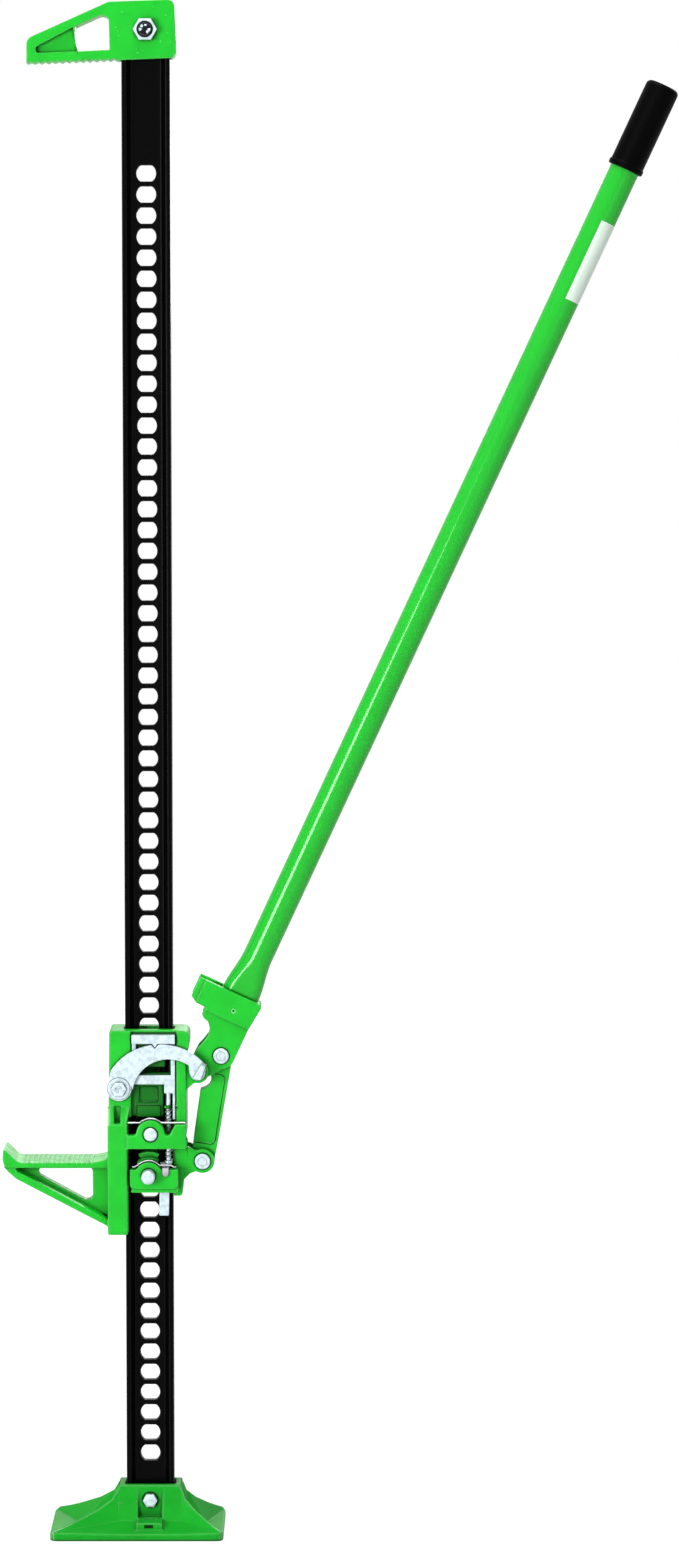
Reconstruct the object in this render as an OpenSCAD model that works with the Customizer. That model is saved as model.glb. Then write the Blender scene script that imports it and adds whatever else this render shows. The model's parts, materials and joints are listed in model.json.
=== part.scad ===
// High lift jack: a steel rack with a row of holes, a climbing mechanism with a lifting nose,
// a tubular handle, a foot and a top clamp. Millimetres, +Z up, +X towards the handle,
// -Y is the front. The origin is on the ground under the rack, on the holes' centre plane.

/* [Rack] */
// Width of the rack bar across its two flanges
rack_w = 47.6; // [46:0.1:49]
// Depth of the rack bar, front to back
rack_depth = 20; // [18:0.5:21]
// Thickness of the web between the flanges
web_t = 8; // [6:0.5:9]
// Width of each flange's flat edge
flange_flat = 4.5; // [3.5:0.1:5]
// Width of each flange's slope down to the web
flange_slope = 4.5; // [3:0.1:5]
// Distance from one hole to the next
hole_pitch = 20.6; // [20:0.1:22]
// Number of holes
hole_count = 63; // [50:1:63]
// Diameter of each hole's round sides
hole_d = 19.2; // [18.5:0.1:20]
// Height of each hole between its flats
hole_h = 15.7; // [15.2:0.1:16.4]
// Height of the lowest hole above the ground
first_hole_z = 79; // [76:1:84]
// Height of the rack's lower end above the ground
rack_foot = 10; // [8:0.5:14]
// Plain length of rack above the top hole
plain_top = 156; // [120:1:170]

/* [Fits] */
// Clearance between the rack and the castings round it
rack_clear = 0.8; // [0.5:0.1:1]
// Radial clearance of a pin in its bore
pin_clear = 0.1; // [0.05:0.01:0.1]
// Gap between faces that lie against each other
seat_gap = 0.3; // [0.2:0.05:0.4]
// Side clearance of plates that turn beside each other
side_clear = 0.6; // [0.4:0.1:0.8]

/* [Foot] */
// Reach of the foot on the nose side
foot_left = 99; // [90:1:110]
// Reach of the foot on the handle side
foot_right = 74; // [68:1:90]
// Depth of the foot, front to back
foot_depth = 106; // [95:1:120]
// Height of the rim round the foot
foot_rim = 7; // [6:0.5:12]
// Height of the ridge ends above the rim
foot_lift = 1.5; // [1:0.5:6]
// Height of the socket's mouth
foot_h = 49; // [45:0.5:56]
// Thickness of the socket's walls
foot_wall = 6.6; // [5:0.1:8]
// Depth of the hollow under the foot
foot_hollow = 3.5; // [2:0.1:5]
// Height of the foot's bolt
foot_bolt_z = 34; // [30:0.5:38]
// Diameter of the foot's bolt
foot_bolt_d = 8; // [6:0.5:10]

/* [Top clamp] */
// Reach of the clamp from the rack's centre
clamp_reach = 117.5; // [105:0.5:130]
// Distance from the clamp's bolt to its handle side
clamp_back = 29.5; // [28:0.5:34]
// Half the height of the clamp's block
clamp_half_h = 28.4; // [26:0.1:32]
// Depth of the clamp, front to back
clamp_depth = 34; // [30:0.5:40]
// Lean of the clamp on its bolt
clamp_tilt = 2.2; // [0:0.1:3]
// Depth of the clamp's teeth
clamp_tooth = 2; // [1:0.1:3]
// Number of teeth under the clamp
clamp_teeth = 13; // [8:1:16]
// Depth of the pocket beside the clamp's window
clamp_pocket = 6; // [3:0.5:8]
// Distance from the rack's top down to the clamp's bolt
clamp_bolt_drop = 17; // [15:0.5:20]
// Diameter of the clamp's bolt
clamp_bolt_d = 12; // [10:0.5:13]

/* [Large runner] */
// Hole that the upper climbing pin stands in, counted from the ground
pin_hole = 17; // [14:1:20]
// Height of the runner's head above the upper climbing pin
head_h = 102; // [96:1:112]
// Length of the spine below the upper climbing pin
spine_drop = 102; // [96:1:110]
// Width of the runner on the nose side of the rack's centre
runner_left = 40; // [38:0.5:44]
// Width of the runner on the handle side of the rack's centre
runner_right = 37.5; // [36:0.5:37.9]
// Distance from the rack's centre plane to the runner's front
runner_front = 26; // [25:0.5:26.5]
// Distance from the rack's centre plane to the runner's back
runner_back = 24; // [23.6:0.1:26]
// Front face of the spine below the latch
spine_front = 37; // [34:0.5:39]
// Inner edge of the spine, where its lips hold the rack
spine_edge = 20.6; // [19.5:0.1:22]
// Front face of the two bridges that carry the climbing pins
bridge_front = 40; // [38:0.5:44]
// Thickness of those bridges
bridge_t = 12; // [10:0.5:12.5]
// Height of the upper bridge
bridge_h = 13.6; // [12:0.1:14.5]
// Radius of the arch round the upper climbing pin
arch_r = 14.2; // [12:0.1:15]
// Rise of the small runner above its resting place
small_rise = 10.4; // [10.3:0.1:12]
// Half width of the boss that guides a climbing pin
guide_half = 9.4; // [8.6:0.1:9.5]
// Reach of the lifting nose beyond the spine
nose_reach = 106; // [90:0.5:115]
// Height of the nose's root
nose_root = 84; // [76:1:92]
// Distance from the upper climbing pin down to the nose's top
nose_drop = 29.5; // [27:0.5:36]
// Width of the nose's top plate
nose_w = 50; // [40:1:56]
// Width of the nose's side faces
nose_side_w = 46; // [30:1:48]
// Thickness of the web between the nose's plate and its rib
nose_web = 14; // [10:0.5:20]
// Depth of the nose's teeth
nose_tooth = 1.5; // [1:0.1:2]
// Number of teeth on the nose
nose_teeth = 15; // [8:1:18]

/* [Handle linkage] */
// Handle pivot, sideways from the rack's centre
pivot_x = 48.7; // [48.5:0.1:49.5]
// Handle pivot, above the upper climbing pin
pivot_up = 59.8; // [59:0.1:66]
// Pitman's upper pin seen from the handle pivot with the handle upright, sideways
throw_out = 14.4; // [13.5:0.1:15]
// The same, upwards
throw_up = 24; // [23:0.1:25]
// Diameter of the three link pins
link_pin_d = 12.7; // [12:0.1:13]
// Lean of the handle from upright, as the jack stands
handle_lean = 24.9; // [24:0.1:26]
// Thickness of the pitman
pitman_w = 20.6; // [19:0.1:21]
// Thickness of the socket's side plates
cheek_t = 5.5; // [5:0.1:5.7]
// Thickness of the large runner's ears
ear_t = 6; // [5:0.1:6.2]
// Thickness of the small runner's ears
small_ear_t = 6.5; // [5.5:0.1:7]
// Radius of the ears round the handle pivot
ear_r = 11; // [10.5:0.1:12]
// Play of the upper link pin in the pitman's eye
eye_play = 3.3; // [3.2:0.1:3.4]

/* [Handle] */
// Diameter of the handle tube
tube_d = 29.5; // [27:0.5:31]
// Wall of the handle tube
tube_wall = 3; // [2:0.1:4]
// Handle tube's axis beside the handle pivot
tube_offset = 6.6; // [6:0.1:7]
// Distance from the handle pivot to the tube's upper end
handle_len = 1072; // [900:1:1200]
// Width of the tube where it is flattened over the socket
flare_w = 38.6; // [36:0.1:39.5]
// Thickness of the tube where it is flattened
flare_t = 21; // [18:0.5:23]
// Length of the flattened part's taper
flare_len = 42; // [35:1:60]
// Half depth of the socket's box
box_half = 19; // [18:0.1:19.5]
// Outer diameter of the grip
grip_d = 33.8; // [33:0.1:37]
// Length of the grip
grip_len = 90; // [80:1:120]
// Thickness of the grip's closed end
grip_end = 5; // [3:0.5:8]

/* [Small runner] */
// Distance between the two climbing pins, in hole pitches
pin_pitches = 2; // [2:1:2]
// Radius of the arch round the lower climbing pin
small_arch_r = 13.3; // [12:0.1:14]
// Pitman's lower pin, sideways from the rack's centre
foot_pin_x = 53.2; // [53:0.1:53.6]
// Radius of the small runner's ears
small_ear_r = 12; // [11:0.1:12.5]

/* [Climbing pins] */
// Diameter of the climbing pins
climb_d = 13.5; // [13:0.1:13.7]
// Travel of a climbing pin, out of the web
pin_throw = 12; // [12:0.1:13]
// Reach of a climbing pin behind the web
pin_past = 3.4; // [2:0.1:3.5]
// Stand of a climbing pin before its bridge
pin_stand = 1.6; // [1:0.1:3]
// Diameter of the pin spring's wire
wire_d = 2; // [1.6:0.1:2.2]

/* [Reversing latch and shift bar] */
// Thickness of the reversing latch
latch_t = 3.8; // [3:0.1:4]
// Latch pivot, sideways from the rack's centre
latch_x = 29.3; // [29:0.1:31]
// Latch pivot, above the upper climbing pin
latch_up = 44.6; // [44:0.1:46]
// Radius of the latch round its pivot
latch_eye = 12.5; // [11:0.1:13]
// Diameter of the latch bolt
latch_bolt_d = 7; // [6:0.1:7]
// Thickness of the shift bar
bar_t = 3.4; // [3:0.1:3.5]
// Diameter of the shift bar's rod
rod_d = 4.6; // [4:0.1:4.8]
// Diameter of the shift spring's wire
coil_wire = 1.3; // [1:0.1:1.4]
// Diameter across the shift spring's curls
coil_d = 8; // [7.8:0.1:8.2]
// Number of curls in the shift spring
coil_turns = 12; // [8:1:14]

/* [Hidden] */

// Overrun of a cut past the face that it leaves
over = 1;
// Facets of round solids, and steps in a rounded corner
$fn = 64;
corner_steps = 5;

// Heights of the holes, and of the two climbing pins, which press on their holes' lower flats
function hole_z(i) = first_hole_z + i * hole_pitch;
pin_drop = (hole_h - climb_d) / 2 - seat_gap;
upper_z = hole_z(pin_hole - 1) - pin_drop;
lower_z = upper_z - pin_pitches * hole_pitch;
pin_shift = 2.2;
rack_top = hole_z(hole_count - 1) + plain_top;
rack_half = rack_w / 2;
channel_x = rack_half + rack_clear;
channel_y = rack_depth / 2 + rack_clear;
bridge_back = bridge_front - bridge_t;

// Layers of plates across the linkage, from the middle outwards
pitman_half = pitman_w / 2;
cheek_in = pitman_half + side_clear;
cheek_out = cheek_in + cheek_t;
ear_in = cheek_out + side_clear;
ear_out = ear_in + ear_t;
small_ear_out = cheek_in + small_ear_t;

// Joint places
pivot_z = upper_z + pivot_up;
throw_len = norm([throw_out, throw_up]);
throw_angle = atan2(throw_up, throw_out) - handle_lean;
head_pin_x = pivot_x + throw_len * cos(throw_angle);
head_pin_z = pivot_z + throw_len * sin(throw_angle);
// The pitman's foot pin stands this far below the upper climbing pin
foot_pin_drop = 30.4;
foot_pin_z = upper_z - foot_pin_drop;
// The pitman leans a little less than the line between its pins, inside its eye's play
pitman_ease = 1.1;
pitman_lean = atan2(head_pin_x - foot_pin_x, head_pin_z - foot_pin_z) - pitman_ease;
pitman_len = norm([head_pin_x - foot_pin_x, head_pin_z - foot_pin_z]) - seat_gap * 3;
latch_z = upper_z + latch_up;
link_r = link_pin_d / 2;
link_bore = link_r + pin_clear;
climb_bore = climb_d / 2 + pin_clear;

// Colours
green = [0.16, 0.78, 0.24];
black = [0.05, 0.05, 0.05];
zinc = [0.8, 0.82, 0.84];
rubber = [0.08, 0.08, 0.08];

// Rounded outlines: each point is [x, z, corner radius]
function unit2(v) = v / norm(v);
function corner(a, b, c) =
    let (p = [b.x, b.y], u = unit2([a.x, a.y] - p), v = unit2([c.x, c.y] - p),
        half = acos(u * v) / 2,
        centre = p + unit2(u + v) * b[2] / sin(half),
        from = p + u * b[2] / tan(half) - centre,
        to = p + v * b[2] / tan(half) - centre,
        start = atan2(from.y, from.x),
        turn = atan2(from.x * to.y - from.y * to.x, from * to))
    [for (i = [0 : corner_steps])
        let (a = start + turn * i / corner_steps) centre + b[2] * [cos(a), sin(a)]];
function rounded(pts) =
    let (n = len(pts))
    [for (i = [0 : n - 1])
        each pts[i][2] > 0 ? corner(pts[(i + n - 1) % n], pts[i], pts[(i + 1) % n])
            : [[pts[i].x, pts[i].y]]];
// Points of an arc, and of a quadratic curve
function arc(c, r, a0, a1, n = 12) =
    [for (i = [0 : n]) let (a = a0 + (a1 - a0) * i / n) c + r * [cos(a), sin(a)]];
function curve(p, q, r, n = 8) =
    [for (i = [0 : n]) let (t = i / n) (1 - t) * (1 - t) * p + 2 * t * (1 - t) * q + t * t * r];
// Shares of a width, a height and a corner radius, made into outline points
function sized(shares, w, h, r = 1) = [for (s = shares) [s[0] * w, s[1] * h, s[2] * r]];
function moved(pts, x, z) = [for (p = pts) [p[0] + x, p[1] + z, p[2]]];

// An outline in the front view, standing between two depths
module slab(y0, y1) {
    translate([0, y1, 0]) rotate([90, 0, 0]) linear_extrude(y1 - y0) children();
}
// An outline seen from the handle side, running between two places along X
module along_x(x0, x1) {
    translate([x0, 0, 0]) rotate([90, 0, 90]) linear_extrude(x1 - x0) children();
}
// A box between two corners
module block(a, b) {
    translate(a) cube(b - a);
}
// A round bar along Y between two depths
module round_y(x, z, r, y0, y1) {
    translate([x, y1, z]) rotate([90, 0, 0]) cylinder(r = r, h = y1 - y0);
}
// A turned end: a short cone along Y, widest at y0
module taper_y(x, z, r0, r1, y0, y1) {
    translate([x, y0, z]) rotate([-90, 0, 0]) cylinder(r1 = r0, r2 = r1, h = y1 - y0);
}
// A hexagon along Y, flats up and down
module hex_y(x, z, flats, y0, y1) {
    translate([x, y1, z]) rotate([90, 0, 0])
        cylinder(r = flats / 2 / cos(30), h = y1 - y0, $fn = 6);
}

// A wire or coil: one closed tube swept along points
function side_of(t) = abs(t.y) < 0.9 ? [0, 1, 0] : [1, 0, 0];
function across(t, s) = let (n = cross(t, s)) n / norm(n);
module tube_along(path, d, sides = 6) {
    n = len(path);
    dirs = [for (i = [0 : n - 1])
        let (v = path[min(i + 1, n - 1)] - path[max(i - 1, 0)]) v / norm(v)];
    rings = [for (i = [0 : n - 1])
        let (u = across(dirs[i], side_of(dirs[i])), v = cross(dirs[i], u))
        each [for (k = [0 : sides - 1])
            path[i] + d / 2 * (cos(360 * k / sides) * u + sin(360 * k / sides) * v)]];
    faces = concat(
        [[for (k = [sides - 1 : -1 : 0]) k]],
        [for (i = [0 : n - 2], k = [0 : sides - 1])
            [i * sides + k, i * sides + (k + 1) % sides, (i + 1) * sides + (k + 1) % sides]],
        [for (i = [0 : n - 2], k = [0 : sides - 1])
            [i * sides + k, (i + 1) * sides + (k + 1) % sides, (i + 1) * sides + k]],
        [[for (k = [0 : sides - 1]) (n - 1) * sides + k]]);
    polyhedron(rings, faces);
}

// RACK
web_half = web_t / 2;
flange_in = rack_half - flange_flat;
web_edge = flange_in - flange_slope;
rack_profile = [for (sx = [1, -1]) each [for (p = [
    [web_edge, -web_half], [flange_in, -rack_depth / 2], [rack_half, -rack_depth / 2],
    [rack_half, rack_depth / 2], [flange_in, rack_depth / 2], [web_edge, web_half]]) sx * p]];

module rack_hole() {
    intersection() {
        round_y(0, 0, hole_d / 2, -rack_depth, rack_depth);
        block([-hole_d, -rack_depth, -hole_h / 2], [hole_d, rack_depth, hole_h / 2]);
    }
}

module rack() {
    color(black) difference() {
        translate([0, 0, rack_foot]) linear_extrude(rack_top - rack_foot) polygon(rack_profile);
        for (i = [0 : hole_count - 1]) translate([0, 0, hole_z(i)]) rack_hole();
        round_y(0, foot_bolt_z, foot_bolt_d / 2 + seat_gap, -rack_depth, rack_depth);
        round_y(0, clamp_z, clamp_bolt_d / 2 + seat_gap, -rack_depth, rack_depth);
    }
}

// FOOT
socket_x = channel_x + foot_wall;
socket_y = channel_y + foot_wall;
foot_half = foot_depth / 2;
foot_end_z = foot_rim + foot_lift;
foot_corner = foot_wall;
// Flat cut into the front for the bolt's head, and the block under it
seat_half = foot_bolt_d * 1.5;
seat_y = socket_y + seat_gap;
seat_floor = foot_bolt_z / 2;
foot_plan_points = rounded([[-foot_left, -foot_half, foot_corner], [foot_right, -foot_half, foot_corner],
    [foot_right, foot_half, foot_corner], [-foot_left, foot_half, foot_corner]]);
function blend(a, b, t) = a + (b - a) * t;

// Places on a quarter of the foot, as shares of the way from the socket to the foot's edges and
// of the foot's height: the ridge, the front apron with its crease, and the scoop at the end
ridge_shares = [[0, 0, 0.98], [0.1, 0.1, 0.73], [0.3, 0.3, 0.55], [0.6, 0.6, 0.37]];
apron_shares = [[0, 0.08, 0.62], [0, 0.3, 0.3]];
scoop_shares = [[0, 0, 0.6], [0.1, 0, 0.45]];
valley_share = 0.56;

// A quarter of the foot's block, between its middle planes and its outer edges
module foot_quarter(reach) {
    x1 = reach + over;
    y1 = foot_half + over;
    function place(s, y0) = [blend(socket_x, x1, s.x), blend(y0, y1, s.y), s.z * foot_h];
    function middle(p) = [0, p.y, p.z];
    ridge = [for (s = ridge_shares) place(s, socket_y)];
    apron = [for (s = apron_shares) place(s, socket_y)];
    scoop = [for (s = scoop_shares) place(s, 0)];
    tops = concat(ridge, [[x1, y1, foot_end_z]], apron, [[socket_x, y1, foot_rim]], scoop, [
        [blend(socket_x, x1, valley_share), 0, foot_rim - over], [x1, 0, foot_end_z],
        [0, 0, ridge[0].z], middle(ridge[0]), middle(apron[0]), middle(apron[1]), [0, y1, foot_rim],
        [0, 0, 0], [x1, 0, 0], [x1, y1, 0], [0, y1, 0]]);
    faces = [[12, 8, 0], [12, 0, 13], [13, 0, 5, 14], [14, 5, 6, 15], [15, 6, 7, 16],
        [0, 1, 5], [5, 1, 2], [5, 2, 6], [6, 2, 3], [6, 3, 4], [6, 4, 7],
        [0, 8, 9], [0, 9, 1], [1, 9, 10], [1, 10, 2], [2, 10, 3], [3, 10, 4], [4, 10, 11],
        [18, 19, 4, 11], [19, 20, 16, 7, 4], [20, 17, 12, 13, 14, 15, 16],
        [17, 18, 11, 10, 9, 8, 12], [17, 20, 19, 18]];
    polyhedron(tops, [for (f = faces) [for (i = [len(f) - 1 : -1 : 0]) f[i]]]);
}

module foot_block() {
    for (m = [0, 1], n = [0, 1]) mirror([m, 0, 0]) mirror([0, n, 0])
        foot_quarter(m == 1 ? foot_left : foot_right);
}

module base_plate() {
    slot = foot_bolt_d * 0.7;
    color(green) difference() {
        union() {
            difference() {
                intersection() {
                    linear_extrude(foot_h) polygon(foot_plan_points);
                    foot_block();
                }
                block([-seat_half, -foot_half - over, seat_floor], [seat_half, -seat_y, foot_h + over]);
                block([-seat_half, socket_y, seat_floor], [seat_half, foot_half + over, foot_h + over]);
            }
            block([-seat_half - over, -foot_half + foot_wall, foot_rim / 2],
                [seat_half + over, -seat_y, seat_floor]);
            block([-socket_x, -socket_y, 0], [socket_x, socket_y, foot_h]);
        }
        block([-channel_x, -channel_y, rack_foot - seat_gap], [channel_x, channel_y, foot_h + over]);
        for (s = [-1, 1]) let (reach = s > 0 ? foot_right : foot_left)
            block([s > 0 ? socket_x : -reach + foot_wall, -foot_half + foot_wall, -over],
                [s > 0 ? reach - foot_wall : -socket_x, foot_half - foot_wall, foot_hollow]);
        block([-slot, -seat_y - slot * 2, seat_floor - slot], [slot, -seat_y - slot, seat_floor + over]);
        round_y(0, foot_bolt_z, foot_bolt_d / 2 + seat_gap, -foot_depth, foot_depth);
    }
}

module bolt(x, z, d, y0, y1) {
    hex_y(x, z, d * 1.6, y0 - d * 0.65, y0);
    taper_y(x, z, d * 0.62, d * 0.78, y0 - d * 0.72, y0 - d * 0.65);
    round_y(x, z, d / 2, y0, y1);
}

module nut(x, z, d, y0, y1) {
    difference() {
        hex_y(x, z, d * 1.7, y0, y1);
        round_y(x, z, d / 2 + pin_clear, y0 - over, y1 + over);
    }
}

module base_bolt() {
    color(zinc) bolt(0, foot_bolt_z, foot_bolt_d, -seat_y - seat_gap, socket_y + foot_bolt_d * 1.3);
}

module base_nut() {
    color(zinc) nut(0, foot_bolt_z, foot_bolt_d, socket_y + seat_gap, socket_y + foot_bolt_d);
}

// TOP CLAMP
clamp_z = rack_top - clamp_bolt_drop;
clamp_half = clamp_depth / 2;
clamp_corner = clamp_half_h / 4;
// The clamp's outline, as shares of its reach and its half height from the bolt
clamp_top_shares = [[-0.297, 1, 1.4], [-0.991, -0.15, 1.2], [-1, -1, 0]];
window_shares = [[-0.583, 0.2, 0.3], [-0.352, 0.59, 1], [-0.3, 0.42, 0.6], [-0.303, -0.64, 0.1],
    [-0.565, -0.65, 0.1], [-0.589, -0.3, 2]];
pocket_shares = [[-0.925, -0.46, 0.5], [-0.6, 0.18, 0.1], [-0.575, -0.65, 0.1], [-0.91, -0.65, 0.4]];
tooth_pitch = (clamp_reach - clamp_back) / clamp_teeth;
clamp_outline = concat(
    [[clamp_back, clamp_half_h, clamp_corner]],
    sized(clamp_top_shares, clamp_reach, clamp_half_h, clamp_corner),
    [for (i = [0 : clamp_teeth - 1]) each [
        [-clamp_reach + (i + 0.5) * tooth_pitch, -clamp_half_h + clamp_tooth, 0],
        [-clamp_reach + (i + 1) * tooth_pitch, -clamp_half_h, 0]]],
    [[clamp_back, -clamp_half_h, clamp_corner]]);

module top_clamp() {
    color(green) difference() {
        translate([0, 0, clamp_z]) rotate([0, -clamp_tilt, 0]) difference() {
            slab(-clamp_half, clamp_half) polygon(rounded(clamp_outline));
            slab(-clamp_depth, clamp_depth)
                polygon(rounded(sized(window_shares, clamp_reach, clamp_half_h, clamp_corner)));
            for (s = [-1, 1]) translate([0, s * (clamp_half + over - clamp_pocket / 2), 0])
                slab(-over - clamp_pocket / 2, clamp_pocket / 2 + over)
                    polygon(rounded(sized(pocket_shares, clamp_reach, clamp_half_h, clamp_corner)));
        }
        block([-channel_x, -channel_y, rack_top - foot_h * 2], [channel_x, channel_y, rack_top + seat_gap]);
        round_y(0, clamp_z, clamp_bolt_d / 2 + seat_gap, -clamp_depth, clamp_depth);
    }
}

module top_clamp_bolt() {
    color(zinc) rotate([0, 0, 180])
        bolt(0, clamp_z, clamp_bolt_d, -clamp_half - seat_gap, clamp_half + clamp_bolt_d);
}

module top_clamp_nut() {
    color(zinc) nut(0, clamp_z, clamp_bolt_d, -clamp_half - clamp_bolt_d * 0.8, -clamp_half - seat_gap);
}

// LARGE RUNNER
// Depth of the shift bar's pocket, and its edges
bar_y = (bridge_back + channel_y) / 2 + coil_d / 2 - seat_gap * 2;
bar_front = bar_y + bar_t / 2;
pocket_floor = bar_y - bar_t / 2 - seat_gap;
pocket_left = 17.4;
pocket_right = 27.6;
front_wall_z = 15;
slot_left = 15;
slot_top = 56;
window_left = 12;
window_right = 21;
window_low = 59;
window_high = 81;
// Pad that the window runs round, the ledge under the pocket's floor and the recess over it
pad_right = 16.4;
pad_low = 65;
pad_step = 1.5;
ledge_half = 12;
ledge_high = 27;
recess_half = 9;
recess_low = 30;
recess_high = 45;
// Post at the bridge's handle side, and the small lug that the shift spring pushes on
post_left = 24;
post_top = 10;
post_right = 38.8;
lug_z = 23.8;
lug_t = 3;
rod_x = 19.6;
head_top = upper_z + head_h;
head_corner = 3;
// Lower edge of the castings behind the bridge, clear of the small runner at its highest
rise_low = upper_z - bridge_h + small_rise - over;

// Arch of a bridge: a round hump with concave feet over the bridge's top edge
function hump(x, z, r, top, foot_r) =
    let (rise = top + foot_r - z, run = sqrt((r + foot_r) * (r + foot_r) - rise * rise),
        a = atan2(rise, run))
    concat(arc([x + run, z + rise], foot_r, 270, 180 + a, 4), arc([x, z], r, a, 180 - a, 12),
        arc([x - run, z + rise], foot_r, -a, -90, 4));

module upper_bridge() {
    low = upper_z - over - bridge_h;
    top = upper_z - over;
    slab(-bridge_front, -bridge_back) polygon(concat(
        [[-spine_edge - over, low], [post_right - head_corner / 2, low], [post_right, low + head_corner / 2],
            [post_right - head_corner, upper_z + post_top], [post_left + head_corner, upper_z + post_top],
            [post_left - head_corner, top]],
        hump(pin_shift, upper_z, arch_r, top, head_corner), [[-spine_edge - over, top]]));
    round_y(pin_shift, upper_z, guide_half, -bridge_front, -web_half - side_clear);
}

// The side post that carries the bridge back to the handle side wall
module bridge_post() {
    slab(-bridge_front, -runner_front + head_h / 5)
        polygon([[pocket_right, rise_low], [runner_right, rise_low],
            [runner_right, upper_z + post_top], [pocket_right, upper_z + post_top]]);
    slab(-runner_front, runner_back)
        polygon([[channel_x, rise_low], [runner_right, rise_low],
            [runner_right, upper_z + front_wall_z + over], [channel_x, upper_z + front_wall_z + over]]);
}

// Hollow in the spine's front over the bridge
module spine_notch() {
    block([-runner_left + head_corner * 2, -runner_front - head_h, upper_z + post_top],
        [-runner_left + head_corner * 4, -runner_front + head_corner, upper_z + post_top + pad_right]);
}

module runner_head() {
    shoulder = pivot_up * 0.48;
    slab(-runner_front, runner_back) polygon(rounded([
        [-runner_left, upper_z + front_wall_z, 0], [runner_right, upper_z + front_wall_z, 0],
        [runner_right, head_top - shoulder, head_corner * 2],
        [runner_right + head_corner, head_top - shoulder / 2, head_corner],
        [runner_right + head_corner, head_top, head_corner * 2],
        [-runner_left + over, head_top, head_corner]]));
}

// The spine: thick below the latch, with its front sloping back to the head
module spine() {
    slope = head_h / 6;
    translate([0, 0, upper_z - spine_drop]) along_x(-runner_left - over / 2, -spine_edge) polygon([
        [runner_back, 0], [runner_back, spine_drop + front_wall_z], [-runner_front, spine_drop + slope * 1.5],
        [-spine_front, spine_drop + slope / 2], [-spine_front, head_corner],
        [-spine_front + head_corner, 0]]);
}

// The back of the runner, behind the rack
module runner_rear() {
    slab(channel_y, runner_back) polygon(rounded([
        [-runner_left, rise_low, 0], [runner_right, rise_low, head_corner],
        [runner_right, upper_z + front_wall_z + over, 0], [-runner_left, upper_z + front_wall_z + over, 0]]));
}

// A tongue of the runner's back that reaches down behind the rack, short of the small runner
module runner_tongue() {
    half = guide_half + head_corner;
    slab(channel_y, runner_back) polygon([[-half, small_top + small_rise + side_clear],
        [half, small_top + small_rise + side_clear], [half, rise_low + over], [-half, rise_low + over]]);
}

// The nose's parts from the spine outwards, as shares of its reach and its root
nose_plate_shares = [[-0.01, 0.09, 0], [0.05, 0.02, 0.8], [0.13, 0, 0.4], [0.87, 0, 0.8], [1, 0.163, 0.2],
    [1.008, 0.02, 1.2], [0.985, -0.08, 0.2], [-0.01, -0.08, 0]];
nose_rib_shares = [[1.002, -0.02, 0.2], [0.962, -0.125, 1.2], [0.88, -0.215, 0.9], [0.02, -0.785, 0.3],
    [-0.01, -0.785, 0], [-0.01, -0.725, 0], [0.87, -0.118, 0.3], [0.9, -0.02, 0]];
nose_web_shares = [[-0.01, -0.04, 0], [0.93, -0.04, 0], [0.93, -0.12, 0], [-0.01, -0.72, 0]];
nose_window_shares = [[0.66, -0.1, 0.5], [0.17, -0.1, 0.7], [0.168, -0.542, 0.8], [0.685, -0.185, 0.5]];
nose_x = -runner_left + over;
nose_z = upper_z - nose_drop;
nose_corner = nose_root / 12;
function nose_points(shares) = rounded(
    [for (p = sized(shares, nose_reach, nose_root, nose_corner)) [nose_x - p[0], nose_z + p[1], p[2]]]);

module nose() {
    pitch = nose_reach * 0.7 / nose_teeth;
    difference() {
        union() {
            slab(-nose_w / 2, nose_w / 2) polygon(nose_points(nose_plate_shares));
            slab(-nose_side_w / 2, nose_side_w / 2) polygon(nose_points(nose_rib_shares));
            slab(-nose_web / 2, nose_web / 2) polygon(nose_points(nose_web_shares));
        }
        slab(-nose_w, nose_w) polygon(nose_points(nose_window_shares));
        slab(-nose_w, nose_w) for (i = [0 : nose_teeth - 1])
            let (x = nose_x - nose_reach * 0.84 + i * pitch)
            polygon([[x, nose_z + nose_tooth / 2], [x + pitch * 0.8, nose_z + nose_tooth / 2],
                [x + pitch * 0.4, nose_z - nose_tooth]]);
    }
}

// The ears that carry the handle's pivot, outside the socket's side plates
module pivot_ears() {
    root = ear_r * 1.6;
    for (s = [-1, 1]) slab(s > 0 ? ear_in : -ear_out, s > 0 ? ear_out : -ear_in) {
        translate([pivot_x, pivot_z]) circle(r = ear_r);
        polygon([[runner_right - head_corner, pivot_z - root], [runner_right, pivot_z - root],
            [pivot_x - ear_r * 0.3, pivot_z - ear_r * 0.95], [pivot_x, pivot_z],
            [pivot_x, pivot_z + ear_r], [runner_right - head_corner, pivot_z + root * 0.8]]);
    }
}

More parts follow.
